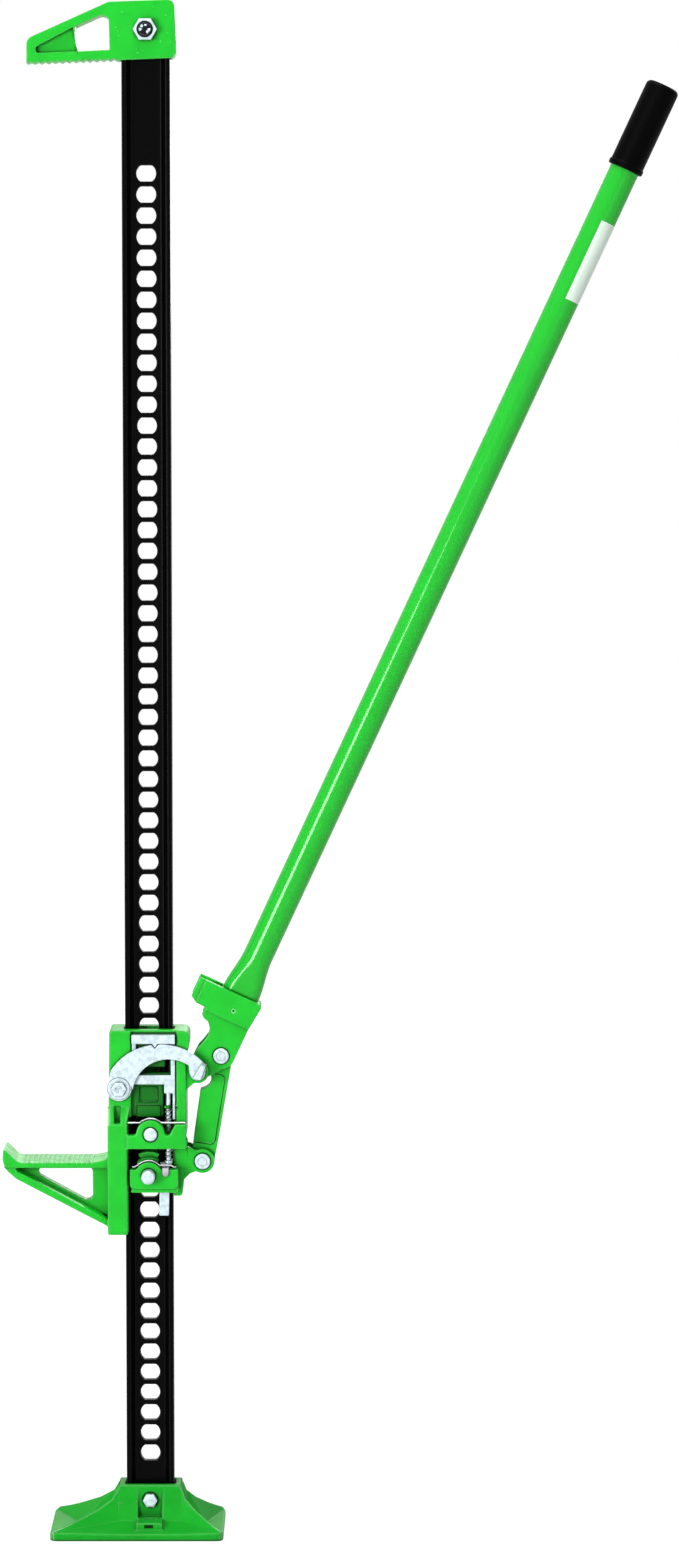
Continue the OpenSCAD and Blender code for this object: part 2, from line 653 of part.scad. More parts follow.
module large_runner() {
    color(green) difference() {
        union() {
            difference() {
                union() {
                    runner_head();
                    spine();
                    runner_rear();
                    bridge_post();
                    nose();
                }
                block([-channel_x, -channel_y, upper_z - spine_drop - over],
                    [channel_x, channel_y, head_top + over]);
                block([-pocket_left, -runner_front - over, upper_z], [pocket_right, -pocket_floor, head_top + over]);
                block([-pocket_left, -pocket_floor - over, upper_z],
                    [pocket_right, -channel_y, upper_z + front_wall_z + over]);
                block([slot_left, -pocket_floor - over, upper_z], [pocket_right, -channel_y + over, upper_z + slot_top]);
                slab(-runner_front, -channel_y + over) polygon([
                    [-window_left, upper_z + window_low], [window_right, upper_z + window_low],
                    [window_right, upper_z + window_high], [pad_right, upper_z + window_high],
                    [pad_right, upper_z + pad_low], [-window_left, upper_z + pad_low]]);
                // Recess in the pocket's floor, over the raised ledge
                block([-recess_half, -pocket_floor - over, upper_z + recess_low],
                    [recess_half, -pocket_floor + pad_step, upper_z + recess_high]);
                spine_notch();
                block([-spine_edge, -spine_front - over, upper_z - spine_drop - over],
                    [runner_right + over, -runner_front - seat_gap, upper_z - bridge_h - over * 2]);
            }
            upper_bridge();
            pivot_ears();
            runner_tongue();
            block([-ledge_half, -pocket_floor - pad_step, upper_z + front_wall_z],
                [ledge_half, -pocket_floor + over, upper_z + ledge_high]);
            block([rod_x - coil_d / 2, -bar_y - rod_d / 2 - over, upper_z + lug_z],
                [pocket_right + over, -channel_y, upper_z + lug_z + lug_t]);
        }
        round_y(pin_shift, upper_z, climb_bore, -bridge_front - over, 0);
        round_y(pivot_x, pivot_z, link_bore, -ear_out - over, ear_out + over);
        round_y(-latch_x, latch_z, latch_bolt_d / 2 + pin_clear, -runner_front - over, -channel_y - over);
        translate([rod_x, -bar_y, upper_z + lug_z - over]) cylinder(d = rod_d + seat_gap * 2, h = lug_t + over * 2);
        block([rod_x + rod_d / 2, -bar_front - coil_d, upper_z + lug_z - over],
            [frame_right + seat_gap, -bar_y + bar_t / 2 + seat_gap, upper_z + lug_z + lug_t + over]);
    }
}

// LINK PINS AND THEIR CLIPS
groove_w = 1.3;
groove_r = link_r - 1;
head_r = 7.8;
head_t = 2.4;

module link_pin(x, z, out) {
    tail = out + seat_gap + groove_w * 3;
    difference() {
        union() {
            round_y(x, z, link_r, -out - seat_gap, tail);
            round_y(x, z, head_r, -out - seat_gap - head_t * 0.7, -out - seat_gap);
            taper_y(x, z, head_r - head_t * 0.3, head_r, -out - seat_gap - head_t,
                -out - seat_gap - head_t * 0.7);
        }
        difference() {
            round_y(x, z, link_r + over, out + seat_gap, out + seat_gap + groove_w);
            round_y(x, z, groove_r, out, out + seat_gap + groove_w + over);
        }
    }
}

// A clip in the pin's groove, open at one side
module link_clip(x, z, out) {
    y0 = out + seat_gap + pin_clear;
    y1 = y0 + groove_w - pin_clear * 2;
    difference() {
        round_y(x, z, head_r + head_t / 2, y0, y1);
        round_y(x, z, groove_r + pin_clear, y0 - over, y1 + over);
        block([x - groove_r * 0.6, y0 - over, z - head_r * 2], [x + groove_r * 0.6, y1 + over, z]);
    }
}

module handle_pivot_pin() { color(zinc) link_pin(pivot_x, pivot_z, ear_out); }
module handle_pivot_clip() { color(zinc) link_clip(pivot_x, pivot_z, ear_out); }
module pitman_head_pin() { color(zinc) link_pin(head_pin_x, head_pin_z, cheek_out); }
module pitman_head_clip() { color(zinc) link_clip(head_pin_x, head_pin_z, cheek_out); }
module pitman_foot_pin() { color(zinc) link_pin(foot_pin_x, foot_pin_z, small_ear_out); }
module pitman_foot_clip() { color(zinc) link_clip(foot_pin_x, foot_pin_z, small_ear_out); }

// CLIMBING PINS AND THEIR SPRINGS
module climbing_pin(x, z, back) {
    tip = web_half + pin_past;
    nose_len = climb_d / 6;
    translate([0, -back, 0]) {
        round_y(x, z, climb_d / 2, -bridge_front - pin_stand + nose_len / 2, tip - nose_len);
        taper_y(x, z, climb_d / 2, climb_d / 2 - nose_len, tip - nose_len, tip);
        taper_y(x, z, climb_d / 2 - nose_len / 2, climb_d / 2, -bridge_front - pin_stand,
            -bridge_front - pin_stand + nose_len / 2);
    }
}

module upper_climbing_pin() { color(zinc) climbing_pin(pin_shift, upper_z, 0); }
module lower_climbing_pin() { color(zinc) climbing_pin(small_pin_x, lower_z, pin_throw); }

// A bow of wire over the arch: flat ends, and a hump that lies on the arch
wire_r = wire_d / 2;
wire_y = -bridge_front + bridge_t / 3;
module bow_wire(x, z, r, left, right, level, ends) {
    hoop = r + seat_gap + wire_r;
    lift = asin((level - z) / hoop);
    tube_along(concat(
        [[x - left, wire_y, level - ends], [x - left + wire_d, wire_y, level - ends],
            [x - left + wire_d * 2.5, wire_y, level]],
        [for (a = [180 - lift : -(180 - 2 * lift) / 8 : lift - over / 9])
            [x + hoop * cos(a), wire_y, z + hoop * sin(a)]],
        [[x + right - wire_d * 2.5, wire_y, level], [x + right - wire_d, wire_y, level - ends],
            [x + right, wire_y, level - ends]]), wire_d, 8);
}

module upper_pin_spring() {
    color(zinc) bow_wire(pin_shift, upper_z, arch_r, pin_shift + spine_edge - seat_gap,
        post_right - pin_shift - wire_d, upper_z + post_top + seat_gap + wire_r, 0);
}

module lower_pin_spring() {
    color(zinc) bow_wire(small_pin_x, lower_z, small_arch_r, small_left - wire_d,
        small_right - wire_d - small_pin_x, small_top + wire_d * 2, wire_d * 1.5 - wire_r - seat_gap);
}

// SMALL RUNNER
small_pin_x = 0.2;
small_left = 18.2;
small_right = 29.4;
small_top = lower_z + 5.8;
small_low = lower_z - 13.3;
small_foot = 4.6;
small_round = 4.5;
small_wall = 36;
small_ear_low = lower_z - 24.2;
small_ear_top = upper_z - over - bridge_h - 1.4;
small_rear = cheek_in + small_ear_t;
// Ear's lower edge from the foot pin back to the rack, as shares of its reach and its drop
ear_edge_shares = [[0.84, 0.27], [0.56, 0.36], [0.32, 0.56], [0.14, 0.84], [0.08, 1]];

module small_runner_ear() {
    reach = foot_pin_x - channel_x;
    drop = foot_pin_z - small_ear_low;
    translate([foot_pin_x, foot_pin_z]) circle(r = small_ear_r);
    polygon(concat([[channel_x, small_ear_low], [channel_x, small_ear_top],
            [small_wall + head_corner, small_ear_top],
            [foot_pin_x - small_ear_r * 0.5, foot_pin_z + small_ear_r * 0.87],
            [foot_pin_x + small_ear_r * 0.6, foot_pin_z - small_ear_r * 0.8]],
        [for (p = ear_edge_shares) [channel_x + p.x * reach, foot_pin_z - p.y * drop]]));
}

module small_runner() {
    color(green) difference() {
        union() {
            slab(-bridge_front, -bridge_back) polygon(concat(
                arc([-small_left + small_round, small_low + small_round], small_round, 180, 270, 5),
                arc([small_right - small_round, small_low + small_round], small_round, 270, 360, 5),
                [[small_right, small_top]],
                hump(small_pin_x, lower_z, small_arch_r, small_top, head_corner),
                [[-small_left, small_top]]));
            slab(-bridge_front + small_foot, -bridge_back) polygon([
                [-small_left + over, small_low + over], [-small_left + over, small_low - small_foot],
                [small_right, small_low - small_foot], [small_right, small_low + over]]);
            round_y(small_pin_x, lower_z, guide_half, -bridge_front, -web_half - side_clear);
            slab(-bridge_front + small_foot, -cheek_in) polygon([[channel_x, small_low - small_foot],
                [small_right, small_low - small_foot], [small_right, small_top], [channel_x, small_top]]);
            for (s = [-1, 1]) slab(s > 0 ? cheek_in : -small_ear_out, s > 0 ? small_ear_out : -cheek_in)
                small_runner_ear();
            slab(-small_ear_out, small_ear_out) polygon(rounded([[channel_x, small_ear_low, 0],
                [small_wall - head_corner, small_ear_low, head_corner], [small_wall, small_top, head_corner],
                [small_wall, small_ear_top, head_corner], [channel_x, small_ear_top, 0]]));
            slab(channel_y, small_rear) polygon(rounded([[-small_left, small_low, head_corner],
                [small_right, small_low, 0], [small_right, small_top, 0], [-small_left, small_top, head_corner]]));
        }
        round_y(small_pin_x, lower_z, climb_bore, -bridge_front - over, 0);
        round_y(foot_pin_x, foot_pin_z, link_bore, -small_ear_out - over, small_ear_out + over);
    }
}

// PITMAN
pitman_foot_r = small_ear_r - over / 2;
pitman_head_r = link_r + eye_play + wire_d * 2;
// Handle's pivot seen from the pitman's foot pin, along and beside the pitman
pivot_dx = pivot_x - foot_pin_x;
pivot_dz = pivot_z - foot_pin_z;
pivot_seen = [pivot_dx * cos(pitman_lean) - pivot_dz * sin(pitman_lean),
    pivot_dx * sin(pitman_lean) + pivot_dz * cos(pitman_lean)];
// Notch that clears the handle's pivot pin, along and beside the pitman from its head
notch_down = 26;
notch_left = 14.5;
notch_r = 10.6;

module pitman() {
    panel = pitman_half / 8;
    color(green) translate([foot_pin_x, 0, foot_pin_z]) rotate([0, pitman_lean, 0]) difference() {
        slab(-pitman_half, pitman_half) difference() {
            union() {
                circle(r = pitman_foot_r);
                translate([0, pitman_len]) circle(r = pitman_head_r);
                polygon([[-pitman_foot_r, 0], [pitman_foot_r, 0], [pitman_foot_r + over, pitman_len * 0.25],
                    [pitman_head_r, pitman_len], [-pitman_head_r, pitman_len],
                    [-pitman_foot_r - over, pitman_len * 0.25]]);
            }
            translate([-notch_left, pitman_len - notch_down]) circle(r = notch_r);
            translate(pivot_seen) circle(r = link_r + side_clear * 1.5);
        }
        for (s = [-1, 1]) translate([0, s * pitman_half, 0]) slab(-panel, panel) polygon(rounded([
            [-pitman_foot_r * 2, pitman_foot_r * 1.5, 0], [pitman_foot_r * 0.8, pitman_foot_r * 1.5, head_corner * 1.5],
            [pitman_foot_r * 0.8, pitman_len * 0.82, head_corner * 1.5],
            [-pitman_foot_r * 2, pitman_len * 0.82, 0]]));
        round_y(0, 0, link_bore, -pitman_w, pitman_w);
        round_y(0, pitman_len, link_r + eye_play, -pitman_w, pitman_w);
    }
}

// HANDLE, drawn upright with its pivot at the origin and then leaned
module leaned() {
    translate([pivot_x, 0, pivot_z]) rotate([0, handle_lean, 0]) children();
}
// Heights above the pivot: the box's foot and mouth
box_low = 59.5;
box_top = 87;
box_left = 12.8;
box_right = 30.8;
floor_low = 44;
hook_reach = 37.6;
cheek_r = 10.4;
head_cheek_r = 13.7;
roll_pin_up = 70.4;
roll_pin_d = 5;
plug_w = 33;
plug_t = 15;
// The side plate's left edge above the pivot, as shares of the hook's reach and the box's top
throat_shares = [[-0.26, 0.25], [-0.2, 0.33], [-0.15, 0.42], [-0.18, 0.5], [-0.31, 0.572],
    [-0.46, 0.588], [-0.55, 0.626], [-0.52, 0.713], [-0.83, 0.718], [-1, 0.762], [-1, 1]];

module cheek_outline() {
    translate([throw_out, throw_up]) circle(r = head_cheek_r);
    circle(r = cheek_r);
    polygon(concat([for (p = throat_shares) [p.x * hook_reach, p.y * box_top]],
        [[box_right - head_corner, box_top], [box_right, box_top - head_corner],
            [throw_out + head_cheek_r, box_low], [throw_out + head_cheek_r, throw_up - over],
            [throw_out + head_cheek_r * 0.5, throw_up - head_cheek_r * 0.87],
            [cheek_r * 0.5, -cheek_r * 0.87], [-cheek_r, 0]]));
}

// A flattened tube section: two round ends joined by flats
module flat_round(w, t) {
    hull() for (s = [-1, 1]) translate([s * (w - t) / 2, 0]) circle(d = t, $fn = 32);
}

module socket_body() {
    for (s = [-1, 1]) slab(s > 0 ? cheek_in : -cheek_out, s > 0 ? cheek_out : -cheek_in) cheek_outline();
    intersection() {
        slab(-box_half, box_half) cheek_outline();
        block([-hook_reach, -box_half, box_low], [box_right, box_half, box_top]);
    }
    slab(-cheek_in, cheek_in) polygon([[-box_left * 0.4, floor_low], [throw_out + head_cheek_r, floor_low],
        [throw_out + head_cheek_r, box_low + over], [-box_left, box_low + over]]);
}

module handle_socket() {
    step = box_half - cheek_out + over;
    color(green) leaned() difference() {
        socket_body();
        block([-hook_reach - over, -cheek_in, box_low - head_corner], [-box_left, cheek_in, box_top + over]);
        for (s = [-1, 1]) block([-hook_reach - over, s > 0 ? box_half - step : -box_half - over, box_low],
            [-hook_reach + link_r, s > 0 ? box_half + over : -box_half + step, box_top + over]);
        translate([tube_offset, 0, box_low + over]) linear_extrude(box_top)
            flat_round(plug_w + seat_gap * 2, plug_t + seat_gap * 2);
        round_y(0, 0, link_bore, -box_half, box_half);
        round_y(throw_out, throw_up, link_bore, -box_half, box_half);
        round_y(tube_offset, roll_pin_up, roll_pin_d / 2 + pin_clear, -box_half - over, box_half + over);
    }
}

module handle_tube() {
    neck = box_top + seat_gap + flare_len;
    color(green) leaned() translate([tube_offset, 0, 0]) difference() {
        union() {
            translate([0, 0, neck]) cylinder(d = tube_d, h = handle_len - neck);
            hull() {
                translate([0, 0, neck]) cylinder(d = tube_d, h = seat_gap, $fn = 32);
                translate([0, 0, box_top + seat_gap]) linear_extrude(seat_gap) flat_round(flare_w, flare_t);
            }
            translate([0, 0, box_low + over + seat_gap]) linear_extrude(box_top - box_low)
                flat_round(plug_w, plug_t);
        }
        translate([0, 0, neck + seat_gap]) cylinder(d = tube_d - tube_wall * 2, h = handle_len);
        round_y(0, roll_pin_up, roll_pin_d / 2 + pin_clear, -tube_d, tube_d);
    }
}

module handle_grip() {
    low = handle_len - grip_len + grip_end;
    ring = grip_d / 2 + over;
    color(rubber) leaned() translate([tube_offset, 0, 0]) rotate_extrude()
        polygon(concat([[tube_d / 2 + pin_clear, low], [ring - over, low], [ring, low + over],
                [ring, low + grip_end], [ring - over, low + grip_end + over]],
            arc([grip_d / 2 - grip_end, handle_len + seat_gap], grip_end, 0, 90, 6),
            [[0, handle_len + seat_gap + grip_end], [0, handle_len + seat_gap],
                [tube_d / 2 + pin_clear, handle_len + seat_gap]]));
}

module socket_roll_pin() {
    color(zinc) leaned() difference() {
        round_y(tube_offset, roll_pin_up, roll_pin_d / 2, -box_half, box_half);
        round_y(tube_offset, roll_pin_up, roll_pin_d / 4, -box_half - over, box_half + over);
    }
}

// REVERSING LATCH AND SHIFT BAR
latch_y = runner_front + seat_gap;
latch_out = latch_y + latch_t;
// Places round the latch's eye: the outer and inner sweeps, and the tip
sweep_out = [-latch_x + 41.3, latch_z - 14.6];
sweep_out_r = 59;
sweep_in = [-latch_x + 49.3, latch_z - 6.6];
sweep_in_r = 36;
tip_at = [-latch_x + 78, latch_z + 19];
tip_r = 8.3;
tab_len = 12;
// The notch's middle and half width, and the bump that the spring draws into it
notch_x = 6.5;
notch_half = 4.4;
notch_z = upper_z + 84.3;
notch_rim = sweep_out.y + sqrt(sweep_out_r * sweep_out_r - pow(notch_x - sweep_out.x, 2));

module latch_outline() {
    difference() {
        polygon(concat(
            arc(sweep_out, sweep_out_r, 45, 146, 20),
            arc([-latch_x, latch_z], latch_eye, 150, 370, 16),
            arc(sweep_in, sweep_in_r, 172, 56, 16),
            arc(tip_at, tip_r, 200, 390, 10)));
        polygon([[notch_x, notch_z], [notch_x + notch_half, notch_rim + over],
            [notch_x - notch_half, notch_rim + over]]);
    }
}

module reversing_latch() {
    color(zinc) difference() {
        union() {
            slab(-latch_out, -latch_y) latch_outline();
            translate([tip_at.x, 0, tip_at.y]) rotate([0, 20, 0]) slab(-latch_out - tab_len, -latch_y)
                polygon(rounded([[-tip_r * 0.1, -tip_r * 0.9, over], [tip_r * 0.75, -tip_r * 0.9, over],
                    [tip_r * 0.75, tip_r * 0.9, over], [tip_r * 0.3, tip_r * 0.9, over]]));
        }
        round_y(-latch_x, latch_z, latch_bolt_d / 2 + pin_clear, -latch_out - over, 0);
    }
}

washer_t = 1.6;
module latch_washer() {
    color(zinc) difference() {
        round_y(-latch_x, latch_z, latch_bolt_d * 1.54, -latch_out - seat_gap / 2 - washer_t,
            -latch_out - seat_gap / 2);
        round_y(-latch_x, latch_z, latch_bolt_d / 2 + pin_clear, -latch_out - washer_t * 3, 0);
    }
}

module latch_bolt() {
    head = -latch_out - seat_gap - washer_t;
    color(zinc) {
        hex_y(-latch_x, latch_z, latch_bolt_d * 1.9, head - latch_bolt_d * 0.5, head);
        round_y(-latch_x, latch_z, latch_bolt_d / 2, head, -channel_y - over * 2);
    }
}

// The frame's edges, and the places down the bar, from the upper climbing pin
frame_left = 16.6;
frame_right = 26.4;
frame_leg = 4.2;
frame_top = 98;
frame_bar = 9;
frame_low = 57.3;
frame_foot = 48;
shaft_left = 15.4;
shaft_low = 39;
strip_left = 24;
strip_low = 13;
collar_z = -28.6;
collar_t = 3;
tail_left = 11.2;
tail_right = 20.8;
tail_low = -84;
// Half width of the point that stands in the latch's notch
bump_half = notch_half * 0.62;

module shift_bar() {
    color(zinc) {
        slab(-bar_front, -bar_front + bar_t) difference() {
            translate([0, upper_z]) union() {
                polygon([[-frame_left, frame_foot], [-frame_left, frame_top], [frame_right, frame_top],
                    [frame_right, strip_low], [strip_left, strip_low], [strip_left, shaft_low],
                    [shaft_left, shaft_low], [shaft_left, frame_foot]]);
            }
            translate([0, upper_z]) polygon([[-frame_left + frame_leg, frame_low],
                [-frame_left + frame_leg, frame_top - frame_bar], [frame_right - frame_leg, frame_top - frame_bar],
                [frame_right - frame_leg, frame_low]]);
        }
        slab(-latch_out, -bar_front + over) polygon([
            [-frame_left, notch_rim + side_clear], [notch_x - bump_half, notch_rim + side_clear],
            [notch_x, notch_z + side_clear * 2], [notch_x + bump_half, notch_rim + side_clear],
            [frame_right, notch_rim + side_clear], [frame_right, upper_z + frame_top],
            [-frame_left, upper_z + frame_top]]);
        translate([rod_x, -bar_y, upper_z + collar_z - collar_t])
            cylinder(d = rod_d, h = shaft_low - collar_z + collar_t + over);
        translate([rod_x, -bar_y, upper_z + collar_z - collar_t]) cylinder(d = coil_d, h = collar_t);
        slab(-bar_y - bar_t / 2, -bar_y + bar_t / 2) translate([0, upper_z]) polygon(rounded([
            [tail_left, collar_z - collar_t * 0.6, 0], [tail_right, collar_z - collar_t * 0.6, 0],
            [tail_right - over, tail_low, over], [tail_left - over, tail_low, over]]));
    }
}

// SHIFT SPRING: one wire wound round the rod, between the runner's lug and the bar's collar
coil_low = upper_z + collar_z;
coil_high = upper_z + lug_z;
coil_r = (coil_d - coil_wire) / 2;
// Axial room that the ends take before the winding starts, and rings in each curl
coil_lead = seat_gap + coil_wire;
coil_rings = 8;
coil_steps = coil_turns * coil_rings;
coil_span = coil_high - coil_low - 2 * coil_lead;
coil_points = [for (i = [0 : coil_steps]) let (a = 360 * i / coil_rings)
    [rod_x + coil_r * cos(a), -bar_y + coil_r * sin(a), coil_low + coil_lead + coil_span * i / coil_steps]];
coil_path = concat([coil_points[0] - [0, 0, coil_wire]], coil_points,
    [coil_points[coil_steps] + [0, 0, coil_wire]]);
// Least gap of the wire to itself, measured on points at least half a curl apart
coil_gap = min([for (i = [0 : coil_rings], j = [i + coil_rings / 2 : i + coil_rings * 2])
    norm(coil_points[i] - coil_points[j])]) - coil_wire;
echo(coil_gap = coil_gap);

module shift_spring() {
    color(zinc) tube_along(coil_path, coil_wire, 6);
}

// SPRING KEEPER: a bent clip on the small runner's bridge, beside its arch
keeper_x = 17.2;
keeper_w = 6;
keeper_t = 2;
keeper_drop = 9;
module spring_keeper() {
    front = -bridge_front - seat_gap;
    color(zinc) {
        slab(front - keeper_t, front) polygon(rounded([
            [keeper_x - keeper_w / 2, small_top + keeper_t, 0],
            [keeper_x - keeper_w / 2, small_top - keeper_drop + keeper_w / 2, keeper_w / 2 - seat_gap],
            [keeper_x + keeper_w / 2, small_top - keeper_drop + keeper_w / 2, keeper_w / 2 - seat_gap],
            [keeper_x + keeper_w / 2, small_top + keeper_t, 0]]));
        block([keeper_x - keeper_w / 2, front - keeper_t, small_top + seat_gap],
            [keeper_x + keeper_w / 2, -bridge_back - keeper_t, small_top + seat_gap + keeper_t]);
    }
}

rack();
base_plate();
base_bolt();
base_nut();
top_clamp();
top_clamp_bolt();
top_clamp_nut();
large_runner();
handle_pivot_pin();
handle_pivot_clip();
upper_pin_spring();
upper_climbing_pin();
small_runner();
lower_pin_spring();
lower_climbing_pin();
pitman_foot_pin();
pitman_foot_clip();
pitman();
handle_socket();
handle_tube();
handle_grip();
socket_roll_pin();
pitman_head_pin();
pitman_head_clip();
reversing_latch();
latch_bolt();
latch_washer();
shift_bar();
shift_spring();
spring_keeper();
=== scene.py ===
"""Looks for the high lift jack: finishes, softened cast edges and small dressing on its frame."""

import json
import logging
import math
from collections.abc import Sequence
from dataclasses import dataclass, field
from enum import Enum
from functools import cached_property

import bmesh
import bpy
from mathutils import Matrix, Vector

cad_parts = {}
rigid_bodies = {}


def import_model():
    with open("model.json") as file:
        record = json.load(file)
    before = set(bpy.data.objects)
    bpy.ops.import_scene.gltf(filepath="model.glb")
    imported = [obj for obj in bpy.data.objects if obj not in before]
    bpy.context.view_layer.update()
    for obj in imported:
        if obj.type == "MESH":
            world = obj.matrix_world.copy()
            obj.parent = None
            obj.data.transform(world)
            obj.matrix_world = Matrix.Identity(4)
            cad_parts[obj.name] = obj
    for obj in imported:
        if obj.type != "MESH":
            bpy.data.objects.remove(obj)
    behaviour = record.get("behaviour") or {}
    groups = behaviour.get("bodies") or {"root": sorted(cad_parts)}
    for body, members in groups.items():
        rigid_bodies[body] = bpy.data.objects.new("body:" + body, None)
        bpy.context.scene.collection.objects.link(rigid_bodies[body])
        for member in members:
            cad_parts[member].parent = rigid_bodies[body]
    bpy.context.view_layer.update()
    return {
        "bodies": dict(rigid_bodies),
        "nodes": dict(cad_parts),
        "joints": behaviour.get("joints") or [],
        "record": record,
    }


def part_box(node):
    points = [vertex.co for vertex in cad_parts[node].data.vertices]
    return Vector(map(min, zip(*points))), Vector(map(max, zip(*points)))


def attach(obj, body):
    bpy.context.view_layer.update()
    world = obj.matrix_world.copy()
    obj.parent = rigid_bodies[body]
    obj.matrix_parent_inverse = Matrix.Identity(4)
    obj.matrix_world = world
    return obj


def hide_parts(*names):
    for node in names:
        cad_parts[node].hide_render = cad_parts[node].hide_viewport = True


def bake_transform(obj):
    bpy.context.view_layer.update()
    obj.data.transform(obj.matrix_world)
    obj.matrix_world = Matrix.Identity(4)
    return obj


Point = tuple[float, float]
Place = tuple[float, float, float]
Span = tuple[float, float]

LOG = logging.getLogger("jack")
MM = 0.001
FULL_TURN = 360.0

# Ending of the name of a piece that stands for a CAD node
LOOK = "_look"

# Thickness of a mark or a painted shadow laid on a face, in millimetres
TRIM = 0.08

# Corners closer than this are joined, in metres: in a band, and in a copy of a CAD node
BAND_WELD = 1e-7
NODE_WELD = 2e-6

# Angles in degrees from which an edge is softened, and from which it stays a crease
SOFT_FROM = 34.0
CREASE_FROM = 32.0

# A softened edge takes this many faces, on a round profile
EDGE_FACES = 2
EDGE_PROFILE = 0.5

# How far broad faces lead the shading
FACE_WEIGHT = 60

# Sockets of the colour mix node, whose names repeat
MIX_SHARE, MIX_FIRST, MIX_SECOND, MIX_RESULT = 0, 6, 7, 2

# How the finishes are shaded
COAT_ROUGHNESS = 0.12
NOISE_DETAIL = 3.0
ROUGHNESS_SPREAD = 0.2
OPENNESS_SAMPLES = 8
EDGE_SAMPLES = 4

# The colour drifts over this many grains, and is darkest and palest at these noise values
DRIFT_GRAINS = 9
DRIFT_SPAN = (0.35, 0.65)

# The painted dark line in a corner looks a fifth as far as the painted shade of a hollow
LINE_REACH_PARTS = 5

# Openness at which the painted line and the painted shade are full, and at which they end
LINE_SPAN = (0.45, 0.97)
HOLLOW_SPAN = (0.25, 0.8)

# Likeness of the softened normal to the true one, and openness, where the painted edge highlight
# starts and is full
EDGE_SPAN = (0.99, 0.86)
FREE_SPAN = (0.8, 1.0)

# A painted highlight on an edge goes this share of the way to this level of white
EDGE_HIGHLIGHT_SHARE = 0.3
EDGE_HIGHLIGHT_LEVEL = 0.9


class Slot(Enum):
    """Material slots of the record."""

    BODY = "body_paint"
    RACK = "rack_paint"
    ZINC = "zinc"
    SPRING = "spring_steel"
    GRIP = "grip_rubber"


class Edge(Enum):
    """How far an edge is softened, in metres."""

    CAST = 1.5 * MM
    FINE_CAST = 0.9 * MM
    ROLLED = 0.8 * MM
    PRESSED = 0.4 * MM
    TURNED = 0.35 * MM
    NONE = 0.0


def add_node(
    tree: bpy.types.NodeTree,
    kind: str,
    values: dict[str, float | tuple[float, ...]] | None = None,
) -> bpy.types.Node:
    """Adds a node to a material's tree or to the world's.

    Args:
        tree: the tree.
        kind: Blender's name for the node.
        values: what some of its inputs are set to.

    Returns:
        The node.
    """
    node = tree.nodes.new(kind)
    for name, value in (values or {}).items():
        node.inputs[name].default_value = value
    return node


def mapped(
    tree: bpy.types.NodeTree,
    value: bpy.types.NodeSocket,
    source: Span = (0.0, 1.0),
    target: Span = (0.0, 1.0),
) -> bpy.types.NodeSocket:
    """Maps a value from one span to another, and holds it at both ends.

    Args:
        tree: the tree.
        value: the value's socket.
        source: its first and last value.
        target: what these two become.

    Returns:
        The mapped value's socket.
    """
    names = ("From Min", "From Max", "To Min", "To Max")
    node = add_node(tree, "ShaderNodeMapRange", dict(zip(names, (*source, *target))))
    tree.links.new(value, node.inputs["Value"])
    return node.outputs["Result"]


def combined(
    tree: bpy.types.NodeTree,
    operation: str,
    first: bpy.types.NodeSocket,
    second: bpy.types.NodeSocket,
) -> bpy.types.NodeSocket:
    """Joins two values by one operation.

    Args:
        tree: the tree.
        operation: Blender's name for it.
        first: the first value's socket.
        second: the second value's socket.

    Returns:
        The result's socket.
    """
    node = add_node(tree, "ShaderNodeMath")
    node.operation = operation
    tree.links.new(first, node.inputs[0])
    tree.links.new(second, node.inputs[1])
    return node.outputs[0]


